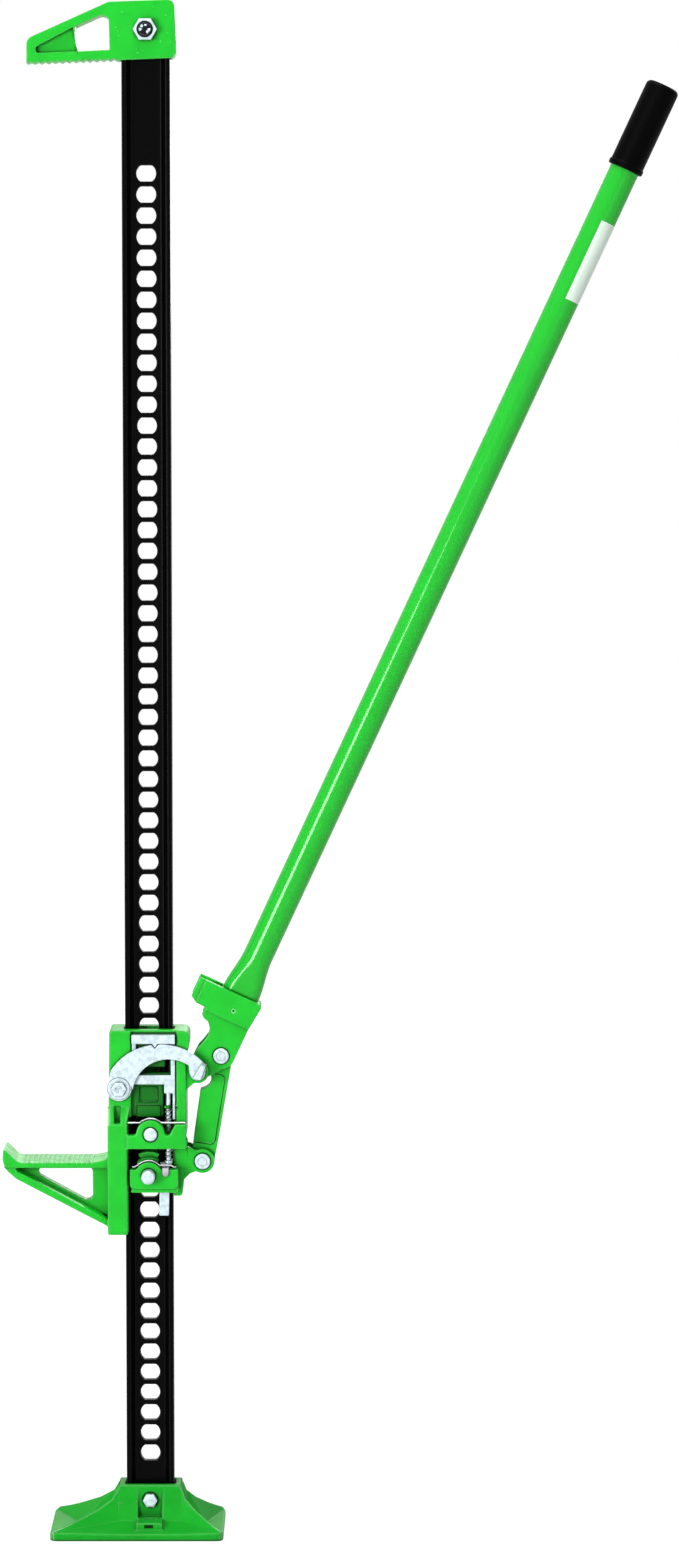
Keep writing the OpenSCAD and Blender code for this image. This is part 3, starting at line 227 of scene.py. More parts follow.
@dataclass(frozen=True)
class Finish:
    """One procedural material.

    Args:
        name: material name.
        colour: linear base colour.
        slot: the record's slot that it belongs to, if any; not used.
        metallic: share of metal.
        roughness: mean roughness.
        coat: weight of the clear coat.
        grain: size of the surface grain in metres.
        relief: height of the grain in metres.
        mottle: share by which the colour varies.
        specular: level of the plain reflection.
        hollow: share by which corners and hollows are darker: painted shade.
        hollow_reach: how far the painted shade looks, in metres.
        edge: share by which edges are lighter: a painted highlight.
        edge_reach: how far from an edge the painted highlight reaches, in metres.
        outline: share by which the line along a corner is darker: painted shade.
    """

    name: str
    colour: tuple[float, float, float]
    slot: Slot | None = None
    metallic: float = 0.0
    roughness: float = 0.4
    coat: float = 0.0
    grain: float = 4 * MM
    relief: float = 0.05 * MM
    mottle: float = 0.06
    specular: float = 0.5
    hollow: float = 0.0
    hollow_reach: float = 6 * MM
    edge: float = 0.0
    edge_reach: float = 0.9 * MM
    outline: float = 0.8

    def material(self) -> bpy.types.Material:
        """Builds the material once and returns it afterwards.

        Returns:
            The material.
        """
        found = bpy.data.materials.get(self.name)
        if found is not None:
            return found
        made = bpy.data.materials.new(self.name)
        made.use_nodes = True
        tree = made.node_tree
        shader = tree.nodes["Principled BSDF"]
        shader.inputs["Base Color"].default_value = (*self.colour, 1.0)
        shader.inputs["Metallic"].default_value = self.metallic
        shader.inputs["Roughness"].default_value = self.roughness
        shader.inputs["Coat Weight"].default_value = self.coat
        shader.inputs["Coat Roughness"].default_value = COAT_ROUGHNESS
        shader.inputs["Specular IOR Level"].default_value = self.specular
        place = add_node(tree, "ShaderNodeTexCoord")
        coarse = self._noise(tree, place, self.grain * DRIFT_GRAINS)
        fine = self._noise(tree, place, self.grain)
        tree.links.new(self._colour(tree, coarse), shader.inputs["Base Color"])
        rough = (
            self.roughness * (1 - ROUGHNESS_SPREAD),
            min(1.0, self.roughness * (1 + ROUGHNESS_SPREAD)),
        )
        tree.links.new(mapped(tree, fine, target=rough), shader.inputs["Roughness"])
        bump = add_node(tree, "ShaderNodeBump", {"Strength": 1.0, "Distance": self.relief})
        tree.links.new(fine, bump.inputs["Height"])
        tree.links.new(bump.outputs["Normal"], shader.inputs["Normal"])
        return made

    def _noise(
        self, tree: bpy.types.NodeTree, place: bpy.types.Node, size: float
    ) -> bpy.types.NodeSocket:
        """Adds a noise texture in object space.

        Args:
            tree: the material's tree.
            place: texture coordinate node.
            size: size of one repeat in metres.

        Returns:
            The noise's socket.
        """
        values = {"Scale": 1.0 / size, "Detail": NOISE_DETAIL}
        noise = add_node(tree, "ShaderNodeTexNoise", values)
        tree.links.new(place.outputs["Object"], noise.inputs["Vector"])
        return noise.outputs["Fac"]

    def _colour(
        self, tree: bpy.types.NodeTree, noise: bpy.types.NodeSocket
    ) -> bpy.types.NodeSocket:
        """The colour with its drift, its painted highlights along edges, and its painted shade in
        corners and hollows.

        Args:
            tree: the material's tree.
            noise: the noise that drives the drift.

        Returns:
            The colour's socket.
        """
        colour = self._vary(tree, noise)
        if self.hollow > 0:
            near = self._openness(tree, self.hollow_reach / LINE_REACH_PARTS)
            if self.edge > 0:
                colour = self._edge_highlight(tree, colour, near)
            colour = self._darken(tree, colour, near, self.outline, LINE_SPAN)
            far = self._openness(tree, self.hollow_reach)
            colour = self._darken(tree, colour, far, self.hollow, HOLLOW_SPAN)
        return colour

    def _vary(
        self, tree: bpy.types.NodeTree, noise: bpy.types.NodeSocket
    ) -> bpy.types.NodeSocket:
        """Lets the colour drift a little with the noise.

        Args:
            tree: the material's tree.
            noise: the noise that drives it.

        Returns:
            The colour's socket.
        """
        ramp = add_node(tree, "ShaderNodeValToRGB")
        low, high = ramp.color_ramp.elements
        low.position, high.position = DRIFT_SPAN
        low.color = (*(c * (1 - self.mottle) for c in self.colour), 1.0)
        high.color = (*(min(1.0, c * (1 + self.mottle)) for c in self.colour), 1.0)
        tree.links.new(noise, ramp.inputs["Fac"])
        return ramp.outputs["Color"]

    def _openness(self, tree: bpy.types.NodeTree, reach: float) -> bpy.types.NodeSocket:
        """How open the surface is: one on a free face, less in a corner or a hollow.

        Args:
            tree: the material's tree.
            reach: how far it looks, in metres.

        Returns:
            The openness socket.
        """
        near = add_node(tree, "ShaderNodeAmbientOcclusion", {"Distance": reach})
        near.samples = OPENNESS_SAMPLES
        return near.outputs["AO"]

    def _edge_highlight(
        self,
        tree: bpy.types.NodeTree,
        colour: bpy.types.NodeSocket,
        openness: bpy.types.NodeSocket,
    ) -> bpy.types.NodeSocket:
        """Lightens the colour along free edges: a painted highlight.

        Args:
            tree: the material's tree.
            colour: the colour's socket.
            openness: how open the surface is, so that corners get no painted highlight.

        Returns:
            The lightened colour's socket.
        """
        softened = add_node(tree, "ShaderNodeBevel", {"Radius": self.edge_reach})
        softened.samples = EDGE_SAMPLES
        surface = add_node(tree, "ShaderNodeNewGeometry")
        likeness = add_node(tree, "ShaderNodeVectorMath")
        likeness.operation = "DOT_PRODUCT"
        tree.links.new(softened.outputs["Normal"], likeness.inputs[0])
        tree.links.new(surface.outputs["True Normal"], likeness.inputs[1])
        # Share of the painted edge highlight, full near an edge
        highlit = mapped(tree, likeness.outputs["Value"], EDGE_SPAN, (0.0, self.edge))
        free = mapped(tree, openness, FREE_SPAN)
        mix = add_node(tree, "ShaderNodeMix")
        mix.data_type = "RGBA"
        pale = tuple(c + (EDGE_HIGHLIGHT_LEVEL - c) * EDGE_HIGHLIGHT_SHARE for c in self.colour)
        mix.inputs[MIX_SECOND].default_value = (*pale, 1.0)
        tree.links.new(combined(tree, "MULTIPLY", highlit, free), mix.inputs[MIX_SHARE])
        tree.links.new(colour, mix.inputs[MIX_FIRST])
        return mix.outputs[MIX_RESULT]

    def _darken(
        self,
        tree: bpy.types.NodeTree,
        colour: bpy.types.NodeSocket,
        openness: bpy.types.NodeSocket,
        share: float,
        span: Span,
    ) -> bpy.types.NodeSocket:
        """Darkens the colour in corners and hollows: painted shade.

        Args:
            tree: the material's tree.
            colour: the colour's socket.
            openness: how open the surface is.
            share: share by which the deepest hollow is darker.
            span: openness at which the darkening is full, and at which it ends.

        Returns:
            The darkened colour's socket.
        """
        depth = mapped(tree, openness, span, (1.0 - share, 1.0))
        scaled = add_node(tree, "ShaderNodeVectorMath")
        scaled.operation = "SCALE"
        tree.links.new(colour, scaled.inputs[0])
        tree.links.new(depth, scaled.inputs["Scale"])
        return scaled.outputs["Vector"]


# Where hollow and outline are set, a finish gets painted shade in its corners and hollows; where
# edge is set, it gets a painted highlight along its edges
GREEN = Finish(
    "cast_green", (0.01, 0.5, 0.024), Slot.BODY, roughness=0.4, coat=0.05, grain=2.5 * MM,
    relief=0.07 * MM, specular=0.15, hollow=0.45, hollow_reach=16 * MM, edge=0.6,
    edge_reach=1.0 * MM, outline=0.7,
)
# A darker copy of the cast green for the foot: painted shade
GREEN_FOOT_SHADED = Finish(
    "foot_green", (0.007, 0.36, 0.019), Slot.BODY, roughness=0.48, grain=2.5 * MM,
    relief=0.05 * MM, specular=0.1, hollow=0.5, hollow_reach=16 * MM, edge=1.0,
    edge_reach=1.1 * MM,
)
# A darker copy of the cast green for the pocket's floor: painted shade
GREEN_POCKET_SHADE = Finish(
    "pocket_green", (0.004, 0.17, 0.009), Slot.BODY, roughness=0.45, grain=2.5 * MM,
    relief=0.07 * MM, specular=0.15, hollow=0.6, hollow_reach=16 * MM, edge=0.25,
    edge_reach=0.8 * MM,
)
# A paler green for the nose's upward faces and its teeth's front ends: painted light
GREEN_LIT_TOP = Finish(
    "worn_green", (0.33, 0.78, 0.34), Slot.BODY, roughness=0.5, grain=1.2 * MM,
    relief=0.08 * MM, mottle=0.14, specular=0.1, hollow=0.4, hollow_reach=5 * MM,
)
# A lighter copy of the cast green for the upward faces of the nose's ribs: painted light in their
# shade
GREEN_LIT_RIB = Finish(
    "rib_green", (0.03, 0.78, 0.07), Slot.BODY, roughness=0.35, grain=2.5 * MM,
    relief=0.05 * MM, specular=0.3,
)
GREEN_TUBE = Finish(
    "tube_green", (0.008, 0.47, 0.02), Slot.BODY, roughness=0.4, coat=0.6, grain=6 * MM,
    relief=0.0, mottle=0.02, specular=0.0, hollow=0.4,
)
# A paler green for the paint drops and the roll pin: painted highlight
SPECK_HIGHLIGHT = Finish(
    "speck_green", (0.14, 0.82, 0.17), Slot.BODY, roughness=0.35, grain=2 * MM, relief=0.0,
    mottle=0.0, specular=0.3,
)
BLACK = Finish(
    "rack_black", (0.0008, 0.0008, 0.001), Slot.RACK, roughness=0.3, grain=3 * MM,
    relief=0.03 * MM, specular=0.04, hollow=0.5, edge=0.3, edge_reach=0.7 * MM,
)
ZINC = Finish(
    "bright_zinc", (0.55, 0.66, 0.71), Slot.ZINC, metallic=0.55, roughness=0.42,
    grain=0.5 * MM, relief=0.02 * MM, mottle=0.16, hollow=0.8, edge=0.8, edge_reach=0.7 * MM,
    outline=0.9,
)
STEEL = Finish(
    "spring_wire", (0.5, 0.5, 0.54), Slot.SPRING, metallic=1.0, roughness=0.28, grain=1 * MM,
    relief=0.01 * MM, mottle=0.2, hollow=0.85, hollow_reach=4 * MM, edge=0.3,
    edge_reach=0.3 * MM,
)
RUBBER = Finish(
    "grip_black", (0.0006, 0.0006, 0.0006), Slot.GRIP, roughness=0.45, grain=2 * MM,
    relief=0.02 * MM, specular=0.03,
)
STRIP = Finish(
    "pale_strip", (0.76, 0.9, 0.79), roughness=0.4, grain=5 * MM, relief=0.0, mottle=0.02,
    specular=0.2,
)
# A darker grey zinc for the rings and marks on pins and bolt heads and for the latch tab's band:
# painted shade
ZINC_SHADE = Finish(
    "dull_zinc", (0.3, 0.32, 0.35), metallic=0.4, roughness=0.5, grain=0.5 * MM,
    relief=0.01 * MM, mottle=0.2,
)
# A near-black green laid round pin heads, round the foot's bolt and in the foot's slot: painted
# shadow
SHADOW_DARK = Finish(
    "dark_seam", (0.002, 0.03, 0.004), roughness=0.7, grain=3 * MM, relief=0.0, mottle=0.0,
    specular=0.05,
)
THREAD = Finish(
    "dark_thread", (0.006, 0.006, 0.007), roughness=0.45, grain=0.8 * MM, relief=0.05 * MM,
    specular=0.1,
)

NodeLooks = dict[str, tuple[Finish, Edge]]


@dataclass(frozen=True)
class Arc:
    """A ring in the front plane, or a piece of one.

    Args:
        inner: inner radius in millimetres; zero for a disc.
        outer: outer radius in millimetres.
        start: first angle in degrees.
        sweep: angle covered, in degrees.
        sides: steps along it.
    """

    inner: float
    outer: float
    start: float = 0.0
    sweep: float = FULL_TURN
    sides: int = 48

    @property
    def closed(self) -> bool:
        """Whether it runs all the way round."""
        return self.sweep >= FULL_TURN

    def row(self, radius: float) -> list[Point]:
        """Points along it at one radius; a full turn's first point isn't repeated.

        Args:
            radius: the radius in millimetres.

        Returns:
            The points, across and up.
        """
        count = self.sides if self.closed else self.sides + 1
        angles = [math.radians(self.start + self.sweep * i / self.sides) for i in range(count)]
        return [(radius * math.cos(a), radius * math.sin(a)) for a in angles]


# Painted shadows round the climbing pins and round the link pins, and the painted shade ring on a
# pin's head
PIN_SHADOW = Arc(6.9, 7.9)
LINK_SHADOW = Arc(7.0, 8.8)
PIN_MARK = Arc(4.3, 4.7)


def mesh_of(
    name: str,
    verts: Sequence[Sequence[float]],
    faces: Sequence[Sequence[int]],
    smooth: bool = False,
) -> bpy.types.Mesh:
    """A mesh from its corners and faces.

    Args:
        name: mesh name.
        verts: corners in metres.
        faces: rows of corner numbers.
        smooth: whether the faces are shaded as one surface.

    Returns:
        The mesh.
    """
    mesh = bpy.data.meshes.new(name)
    mesh.from_pydata([tuple(v) for v in verts], [], faces)
    for face in mesh.polygons:
        face.use_smooth = smooth
    return mesh


def mesh_object(name: str, mesh: bpy.types.Mesh) -> bpy.types.Object:
    """Puts a mesh into the scene.

    Args:
        name: piece name.
        mesh: its mesh.

    Returns:
        The new object.
    """
    obj = bpy.data.objects.new(name, mesh)
    bpy.context.scene.collection.objects.link(obj)
    return obj


def band_mesh(
    name: str, inner: Sequence[Point], outer: Sequence[Point], thick: float, closed: bool
) -> bpy.types.Mesh:
    """A flat band between two rows of points in the front plane, from depth zero towards -Y.

    Args:
        name: mesh name.
        inner: inner row in millimetres, across and up.
        outer: outer row, with as many points.
        thick: thickness in millimetres.
        closed: whether the rows run round.

    Returns:
        The mesh.
    """
    n = len(inner)
    rows = ((inner, 0.0), (outer, 0.0), (outer, -thick), (inner, -thick))
    verts = [(x * MM, depth * MM, z * MM) for row, depth in rows for x, z in row]
    faces = []
    for k in range(len(rows)):
        low, high = k * n, ((k + 1) % len(rows)) * n
        for i in range(n if closed else n - 1):
            j = (i + 1) % n
            faces.append((low + i, high + i, high + j, low + j))
    if not closed:
        faces += [tuple(k * n + end for k in range(len(rows))) for end in (0, n - 1)]
    mesh = mesh_of(name, verts, faces)
    work = bmesh.new()
    work.from_mesh(mesh)
    bmesh.ops.remove_doubles(work, verts=work.verts, dist=BAND_WELD)
    bmesh.ops.recalc_face_normals(work, faces=work.faces)
    work.to_mesh(mesh)
    work.free()
    return mesh


def front_place(node: str, depth: float | None = None) -> Place:
    """The middle of a CAD node, as seen from the front.

    Args:
        node: node name.
        depth: place along Y in millimetres; the node's own front face where none is given.

    Returns:
        The place in millimetres.
    """
    low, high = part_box(node)
    middle = (low + high) / (2 * MM)
    return (middle.x, low.y / MM if depth is None else depth, middle.z)


@dataclass
class Assembly:
    """A sub-assembly: CAD nodes of one body, copied with softened edges.

    Args:
        body: CAD body of the nodes.
        nodes: node names with their finish and edge.
        angles: for some nodes, the least angle in degrees of an edge that is softened.
        made: the pieces made so far.
    """

    frame: dict
    body: str = ""
    nodes: NodeLooks = field(default_factory=dict)
    angles: dict[str, float] = field(default_factory=dict)
    made: list[bpy.types.Object] = field(default_factory=list, init=False)

    def build(self) -> list[bpy.types.Object]:
        """Copies and dresses each node.

        Returns:
            The pieces made.
        """
        for name, (finish, edge) in self.nodes.items():
            self._soft_copy(name, finish, edge, self.angles.get(name, SOFT_FROM))
        self.dress()
        return self.made

    def dress(self) -> None:
        """Adds the pieces that the CAD model leaves to the scene."""

    def look_of(self, node: str) -> bpy.types.Object:
        """The piece made so far that stands for a CAD node."""
        return next(piece for piece in self.made if piece.name == node + LOOK)

    def carry(self, obj: bpy.types.Object) -> None:
        """Lets a piece move with the assembly's body."""
        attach(obj, self.body)

    def finished(self, obj: bpy.types.Object, finish: Finish) -> bpy.types.Object:
        """Gives a piece its finish and its body.

        Args:
            obj: the piece.
            finish: its finish.

        Returns:
            The same piece.
        """
        obj.data.materials.clear()
        obj.data.materials.append(finish.material())
        self.carry(obj)
        self.made.append(obj)
        return obj

    def second_coat(self, obj: bpy.types.Object, finish: Finish) -> int:
        """Adds a finish for some of a piece's faces.

        Args:
            obj: the piece.
            finish: the finish.

        Returns:
            Its number among the piece's finishes.
        """
        obj.data.materials.append(finish.material())
        return len(obj.data.materials) - 1

    def band(
        self,
        name: str,
        inner: Sequence[Point],
        outer: Sequence[Point],
        at: Place,
        finish: Finish = SHADOW_DARK,
        thick: float = TRIM,
        closed: bool = True,
    ) -> bpy.types.Object:
        """Lays a band on a front face.

        Args:
            name: piece name.
            inner: inner row of points in millimetres, across and up.
            outer: outer row.
            at: where the rows' origin lies, in millimetres.
            finish: its finish.
            thick: thickness in millimetres.
            closed: whether the rows run round.

        Returns:
            The band.
        """
        obj = mesh_object(name, band_mesh(name, inner, outer, thick, closed))
        obj.data.transform(Matrix.Translation(Vector(at) * MM))
        return self.finished(obj, finish)

    def ring(
        self, name: str, at: Place, arc: Arc, finish: Finish = SHADOW_DARK, thick: float = TRIM
    ) -> bpy.types.Object:
        """Lays a ring, or a piece of one, on a front face, such as the painted shadow round a
        pin.

        Args:
            name: piece name.
            at: its middle in millimetres.
            arc: its radii and the angle that it covers.
            finish: its finish.
            thick: thickness in millimetres.

        Returns:
            The ring.
        """
        inner, outer = arc.row(arc.inner), arc.row(arc.outer)
        return self.band(name, inner, outer, at, finish, thick, arc.closed)

    def _soft_copy(
        self, node: str, finish: Finish, edge: Edge, least: float
    ) -> bpy.types.Object:
        """Copies a node's mesh, softens its edges and lets it stand for the node.

        Args:
            node: CAD node name.
            finish: its finish.
            edge: how far its edges are softened.
            least: least angle in degrees of an edge that is softened.

        Returns:
            The new piece.
        """
        work = bmesh.new()
        work.from_mesh(self.frame["nodes"][node].data)
        bmesh.ops.remove_doubles(work, verts=work.verts, dist=NODE_WELD)
        if edge is not Edge.NONE:
            sharp = [
                e
                for e in work.edges
                if len(e.link_faces) == 2 and e.calc_face_angle(0.0) > math.radians(least)
            ]
            bmesh.ops.bevel(
                work,
                geom=sharp,
                offset=edge.value,
                offset_type="OFFSET",
                segments=EDGE_FACES,
                profile=EDGE_PROFILE,
                affect="EDGES",
                clamp_overlap=False,
            )
        for face in work.faces:
            face.smooth = True
        mesh = bpy.data.meshes.new(node + LOOK)
        work.to_mesh(mesh)
        work.free()
        mesh.set_sharp_from_angle(angle=math.radians(min(CREASE_FROM, least)))
        obj = mesh_object(node + LOOK, mesh)
        even = obj.modifiers.new("even_faces", "WEIGHTED_NORMAL")
        even.keep_sharp = True
        even.weight = FACE_WEIGHT
        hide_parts(node)
        return self.finished(obj, finish)


@dataclass
class Stand(Assembly):
    """The rack with its foot and its top clamp; sizes in millimetres.

    Args:
        nut_face: the clamp nut's dark face.
        bolt_end: the dark threaded end of the clamp's bolt.
        burrs: bright burrs on that end.
        bolt_shadow: the dark ring round the head of the foot's bolt: painted shadow.
        bolt_seat: depth of the foot's face round that head.
        slot_at: middle of the slot in the foot.
        slot: the slot's corners, from its middle.
        slot_parts: the slot is this many times as wide as the line that it narrows to.
        specks: drops of paint on the clamp, across and up from its bolt.
        speck_sizes: radii that the drops take in turn.
        speck_flat: a drop's depth as a share of its width.
        jaw_end: where the clamp's thinner jaw ends, across.
        jaw_front: depth of that jaw's face.
    """

    body: str = "stand"
    nodes: NodeLooks = field(
        default_factory=lambda: {
            "rack": (BLACK, Edge.ROLLED),
            "base_plate": (GREEN_FOOT_SHADED, Edge.CAST),
            "base_bolt": (ZINC, Edge.TURNED),
            "base_nut": (ZINC, Edge.TURNED),
            "top_clamp": (GREEN, Edge.FINE_CAST),
            "top_clamp_bolt": (ZINC, Edge.TURNED),
            "top_clamp_nut": (ZINC, Edge.TURNED),
        }
    )
    angles: dict[str, float] = field(default_factory=lambda: {"base_plate": 14.0})
    nut_face: Arc = Arc(6.1, 8.1)
    bolt_end: Arc = Arc(0.0, 5.9)
    burrs: tuple[Arc, ...] = (
        Arc(2.8, 5.2, 118, 34, 6),
        Arc(3.0, 5.6, 168, 34, 6),
        Arc(2.9, 5.5, 332, 34, 6),
        Arc(2.6, 5.0, 296, 34, 6),
        Arc(3.0, 4.6, 62, 34, 6),
    )
    bolt_shadow: Arc = Arc(7.2, 8.4)
    bolt_seat: float = -17.75
    slot_at: Place = (-0.6, -46.42, 13.6)
    slot: tuple[Point, ...] = ((-4.5, -1.6), (4.5, -1.6), (4.2, 1.6), (-4.2, 1.6))
    slot_parts: float = 9.0
    specks: tuple[Point, ...] = (
        (-27, -1), (-26, -6), (-29, 2), (22, -3), (25, -12), (15, -11.5), (-8.6, -19),
        (-2.3, -20), (-7.5, -22.5), (4.6, -26), (-92, -13), (-96.5, -14.5), (-14, 3), (20, 14),
        (-22, 17), (8, 22),
    )
    speck_sizes: tuple[float, ...] = (0.45, 0.6, 0.75)
    speck_flat: float = 0.5
    jaw_end: float = -40.0
    jaw_front: float = -11.0

    def dress(self) -> None:
        """Adds the nut's dark face, the bolt end's threads, the painted shadow round the foot's
        bolt, a dark patch for the shade in the foot's slot, and the specks.
        """
        self.ring("nut_face", front_place("top_clamp_nut"), self.nut_face, THREAD)
        across, front, up = front_place("top_clamp_bolt")
        self.ring("bolt_end", (across, front, up), self.bolt_end, THREAD)
        for i, burr in enumerate(self.burrs):
            self.ring(f"bolt_end_burr_{i}", (across, front - TRIM, up), burr, ZINC)
        self.ring("base_bolt_seam", front_place("base_bolt", self.bolt_seat), self.bolt_shadow)
        # The slot is shown by a flat dark patch: painted shade
        line = [(x / self.slot_parts, 0.0) for x, _ in self.slot]
        self.band("foot_slot", line, self.slot, self.slot_at)
        self._specks()

    def _specks(self) -> None:
        """Small drops of paint on the clamp's face, in a paler green: painted highlight."""
        middle, _, height = front_place("top_clamp_bolt")
        _, front, _ = front_place("top_clamp")
        work = bmesh.new()
        for i, (x, z) in enumerate(self.specks):
            size = self.speck_sizes[i % len(self.speck_sizes)] * MM
            face = self.jaw_front if x < self.jaw_end else front
            spot = Vector((middle + x, face, height + z)) * MM
            flat = Matrix.Translation(spot) @ Matrix.Diagonal((1.0, self.speck_flat, 1.0, 1.0))
            bmesh.ops.create_icosphere(work, subdivisions=1, radius=size, matrix=flat)
        for face in work.faces:
            face.smooth = True
        mesh = bpy.data.meshes.new("paint_specks")
        work.to_mesh(mesh)
        work.free()
        self.finished(mesh_object("paint_specks", mesh), SPECK_HIGHLIGHT)


@dataclass
class Carriage(Assembly):
    """The large runner with the pieces fixed on it; sizes in millimetres.

    Args:
        pin_shadow: the dark ring round the upper climbing pin: painted shadow.
        pin_mark: the grey ring on the handle's pivot: painted shade of its chamfer.
        bolt_mark: the grey ring on the head of the latch's bolt: painted shade.
        bolt_dents: grey patches in that head: painted shade of its dents.
        pocket_low: lowest corner of the space that holds the pocket's floor.
        pocket_high: its highest corner.
        nose_reach: where the toothed top starts and ends, across.
        nose_top: height of the teeth.
        nose_front: depth of the nose's front face.
        tooth_drop: how far below the top a face still belongs to a tooth.
        rib_depth: how far from the middle the channel's outer ribs begin.
        upward: least upward share of the normal of a face that takes a paler green: painted
            light.
        first_tooth: where the first marked tooth starts, across.
        tooth_pitch: step from tooth to tooth.
        tooth_count: number of marked teeth.
        tooth_share: where on its pitch a tooth's mark stands.
        tooth_end: corners of a tooth's pale front end, which is painted light, from the middle of
            its top.
        tooth_core: the small corners that the mark closes on.
    """

    body: str = "carriage"
    nodes: NodeLooks = field(
        default_factory=lambda: {
            "large_runner": (GREEN, Edge.CAST),
            "handle_pivot_pin": (ZINC, Edge.TURNED),
            "handle_pivot_clip": (STEEL, Edge.NONE),
            "upper_pin_spring": (STEEL, Edge.NONE),
            "latch_bolt": (ZINC, Edge.TURNED),
            "latch_washer": (ZINC, Edge.TURNED),
        }
    )
    pin_shadow: Arc = PIN_SHADOW
    pin_mark: Arc = PIN_MARK
    bolt_mark: Arc = Arc(3.2, 3.6, 20.0, 250.0, 20)
    bolt_dents: tuple[Arc, ...] = (
        Arc(0.4, 2.6, 35, 26, 5),
        Arc(0.8, 3.0, 150, 26, 5),
        Arc(0.4, 2.4, 255, 26, 5),
    )
    pocket_low: Place = (-17.6, -24.5, 422.0)
    pocket_high: Place = (27.8, -10.9, 504.0)
    nose_reach: Span = (-146.0, -39.5)
    nose_top: float = 378.3
    nose_front: float = -25.0
    tooth_drop: float = 3.0
    rib_depth: float = 7.5
    upward: float = 0.4
    first_tooth: float = -128.04
    tooth_pitch: float = 4.947
    tooth_count: int = 15
    tooth_share: float = 0.4
    tooth_end: tuple[Point, ...] = ((-1.9, 0.4), (1.9, 0.4), (0.0, -2.3))
    tooth_core: tuple[Point, ...] = ((-0.3, -0.5), (0.3, -0.5), (0.0, -0.8))

    def dress(self) -> None:
        """Adds the painted shadow round the upper pin, the painted shade rings on the pins, the
        pocket's painted shade and the nose's painted light.
        """
        _, bridge, _ = front_place("large_runner")
        shadow_at = front_place("upper_climbing_pin", bridge)
        self.ring("upper_pin_seam", shadow_at, self.pin_shadow)
        self.ring("pivot_pin_mark", front_place("handle_pivot_pin"), self.pin_mark, ZINC_SHADE)
        head = front_place("latch_bolt")
        self.ring("latch_bolt_mark", head, self.bolt_mark, ZINC_SHADE)
        for i, dent in enumerate(self.bolt_dents):
            self.ring(f"latch_bolt_dent_{i}", head, dent, ZINC_SHADE)
        self._shade_pocket_floor()
        self._tread()

    def _shade_pocket_floor(self) -> None:
        """Gives the pocket's floor behind the shift bar a darker green: painted shade."""
        runner = self.look_of("large_runner")
        shade_index = self.second_coat(runner, GREEN_POCKET_SHADE)
        # Faces of the pocket's floor take the painted shade
        for face in runner.data.polygons:
            place = [v / MM for v in face.center]
            if all(a < v < b for a, v, b in zip(self.pocket_low, place, self.pocket_high)):
                face.material_index = shade_index

    def _tread(self) -> None:
        """Gives the nose's toothed top a paler green and each tooth a pale front end: painted
        light on faces that catch it; the outer ribs below get a lighter green: painted light in
        their shade.
        """
        runner = self.look_of("large_runner")
        lit_top = self.second_coat(runner, GREEN_LIT_TOP)
        lit_rib = self.second_coat(runner, GREEN_LIT_RIB)
        tip, root = self.nose_reach
        for face in runner.data.polygons:
            x, y, z = (v / MM for v in face.center)
            if not tip < x < root or face.normal.z < self.upward:
                continue
            # Upward faces of the toothed top take a paler green: painted light
            if z > self.nose_top - self.tooth_drop:
                face.material_index = lit_top
            # Upward faces of the outer ribs take a lighter green: painted light
            elif abs(y) > self.rib_depth:
                face.material_index = lit_rib
        for i in range(self.tooth_count):
            middle = self.first_tooth + (i + self.tooth_share) * self.tooth_pitch
            at = (middle, self.nose_front, self.nose_top)
            self.band(f"tooth_end_{i}", self.tooth_core, self.tooth_end, at, GREEN_LIT_TOP)


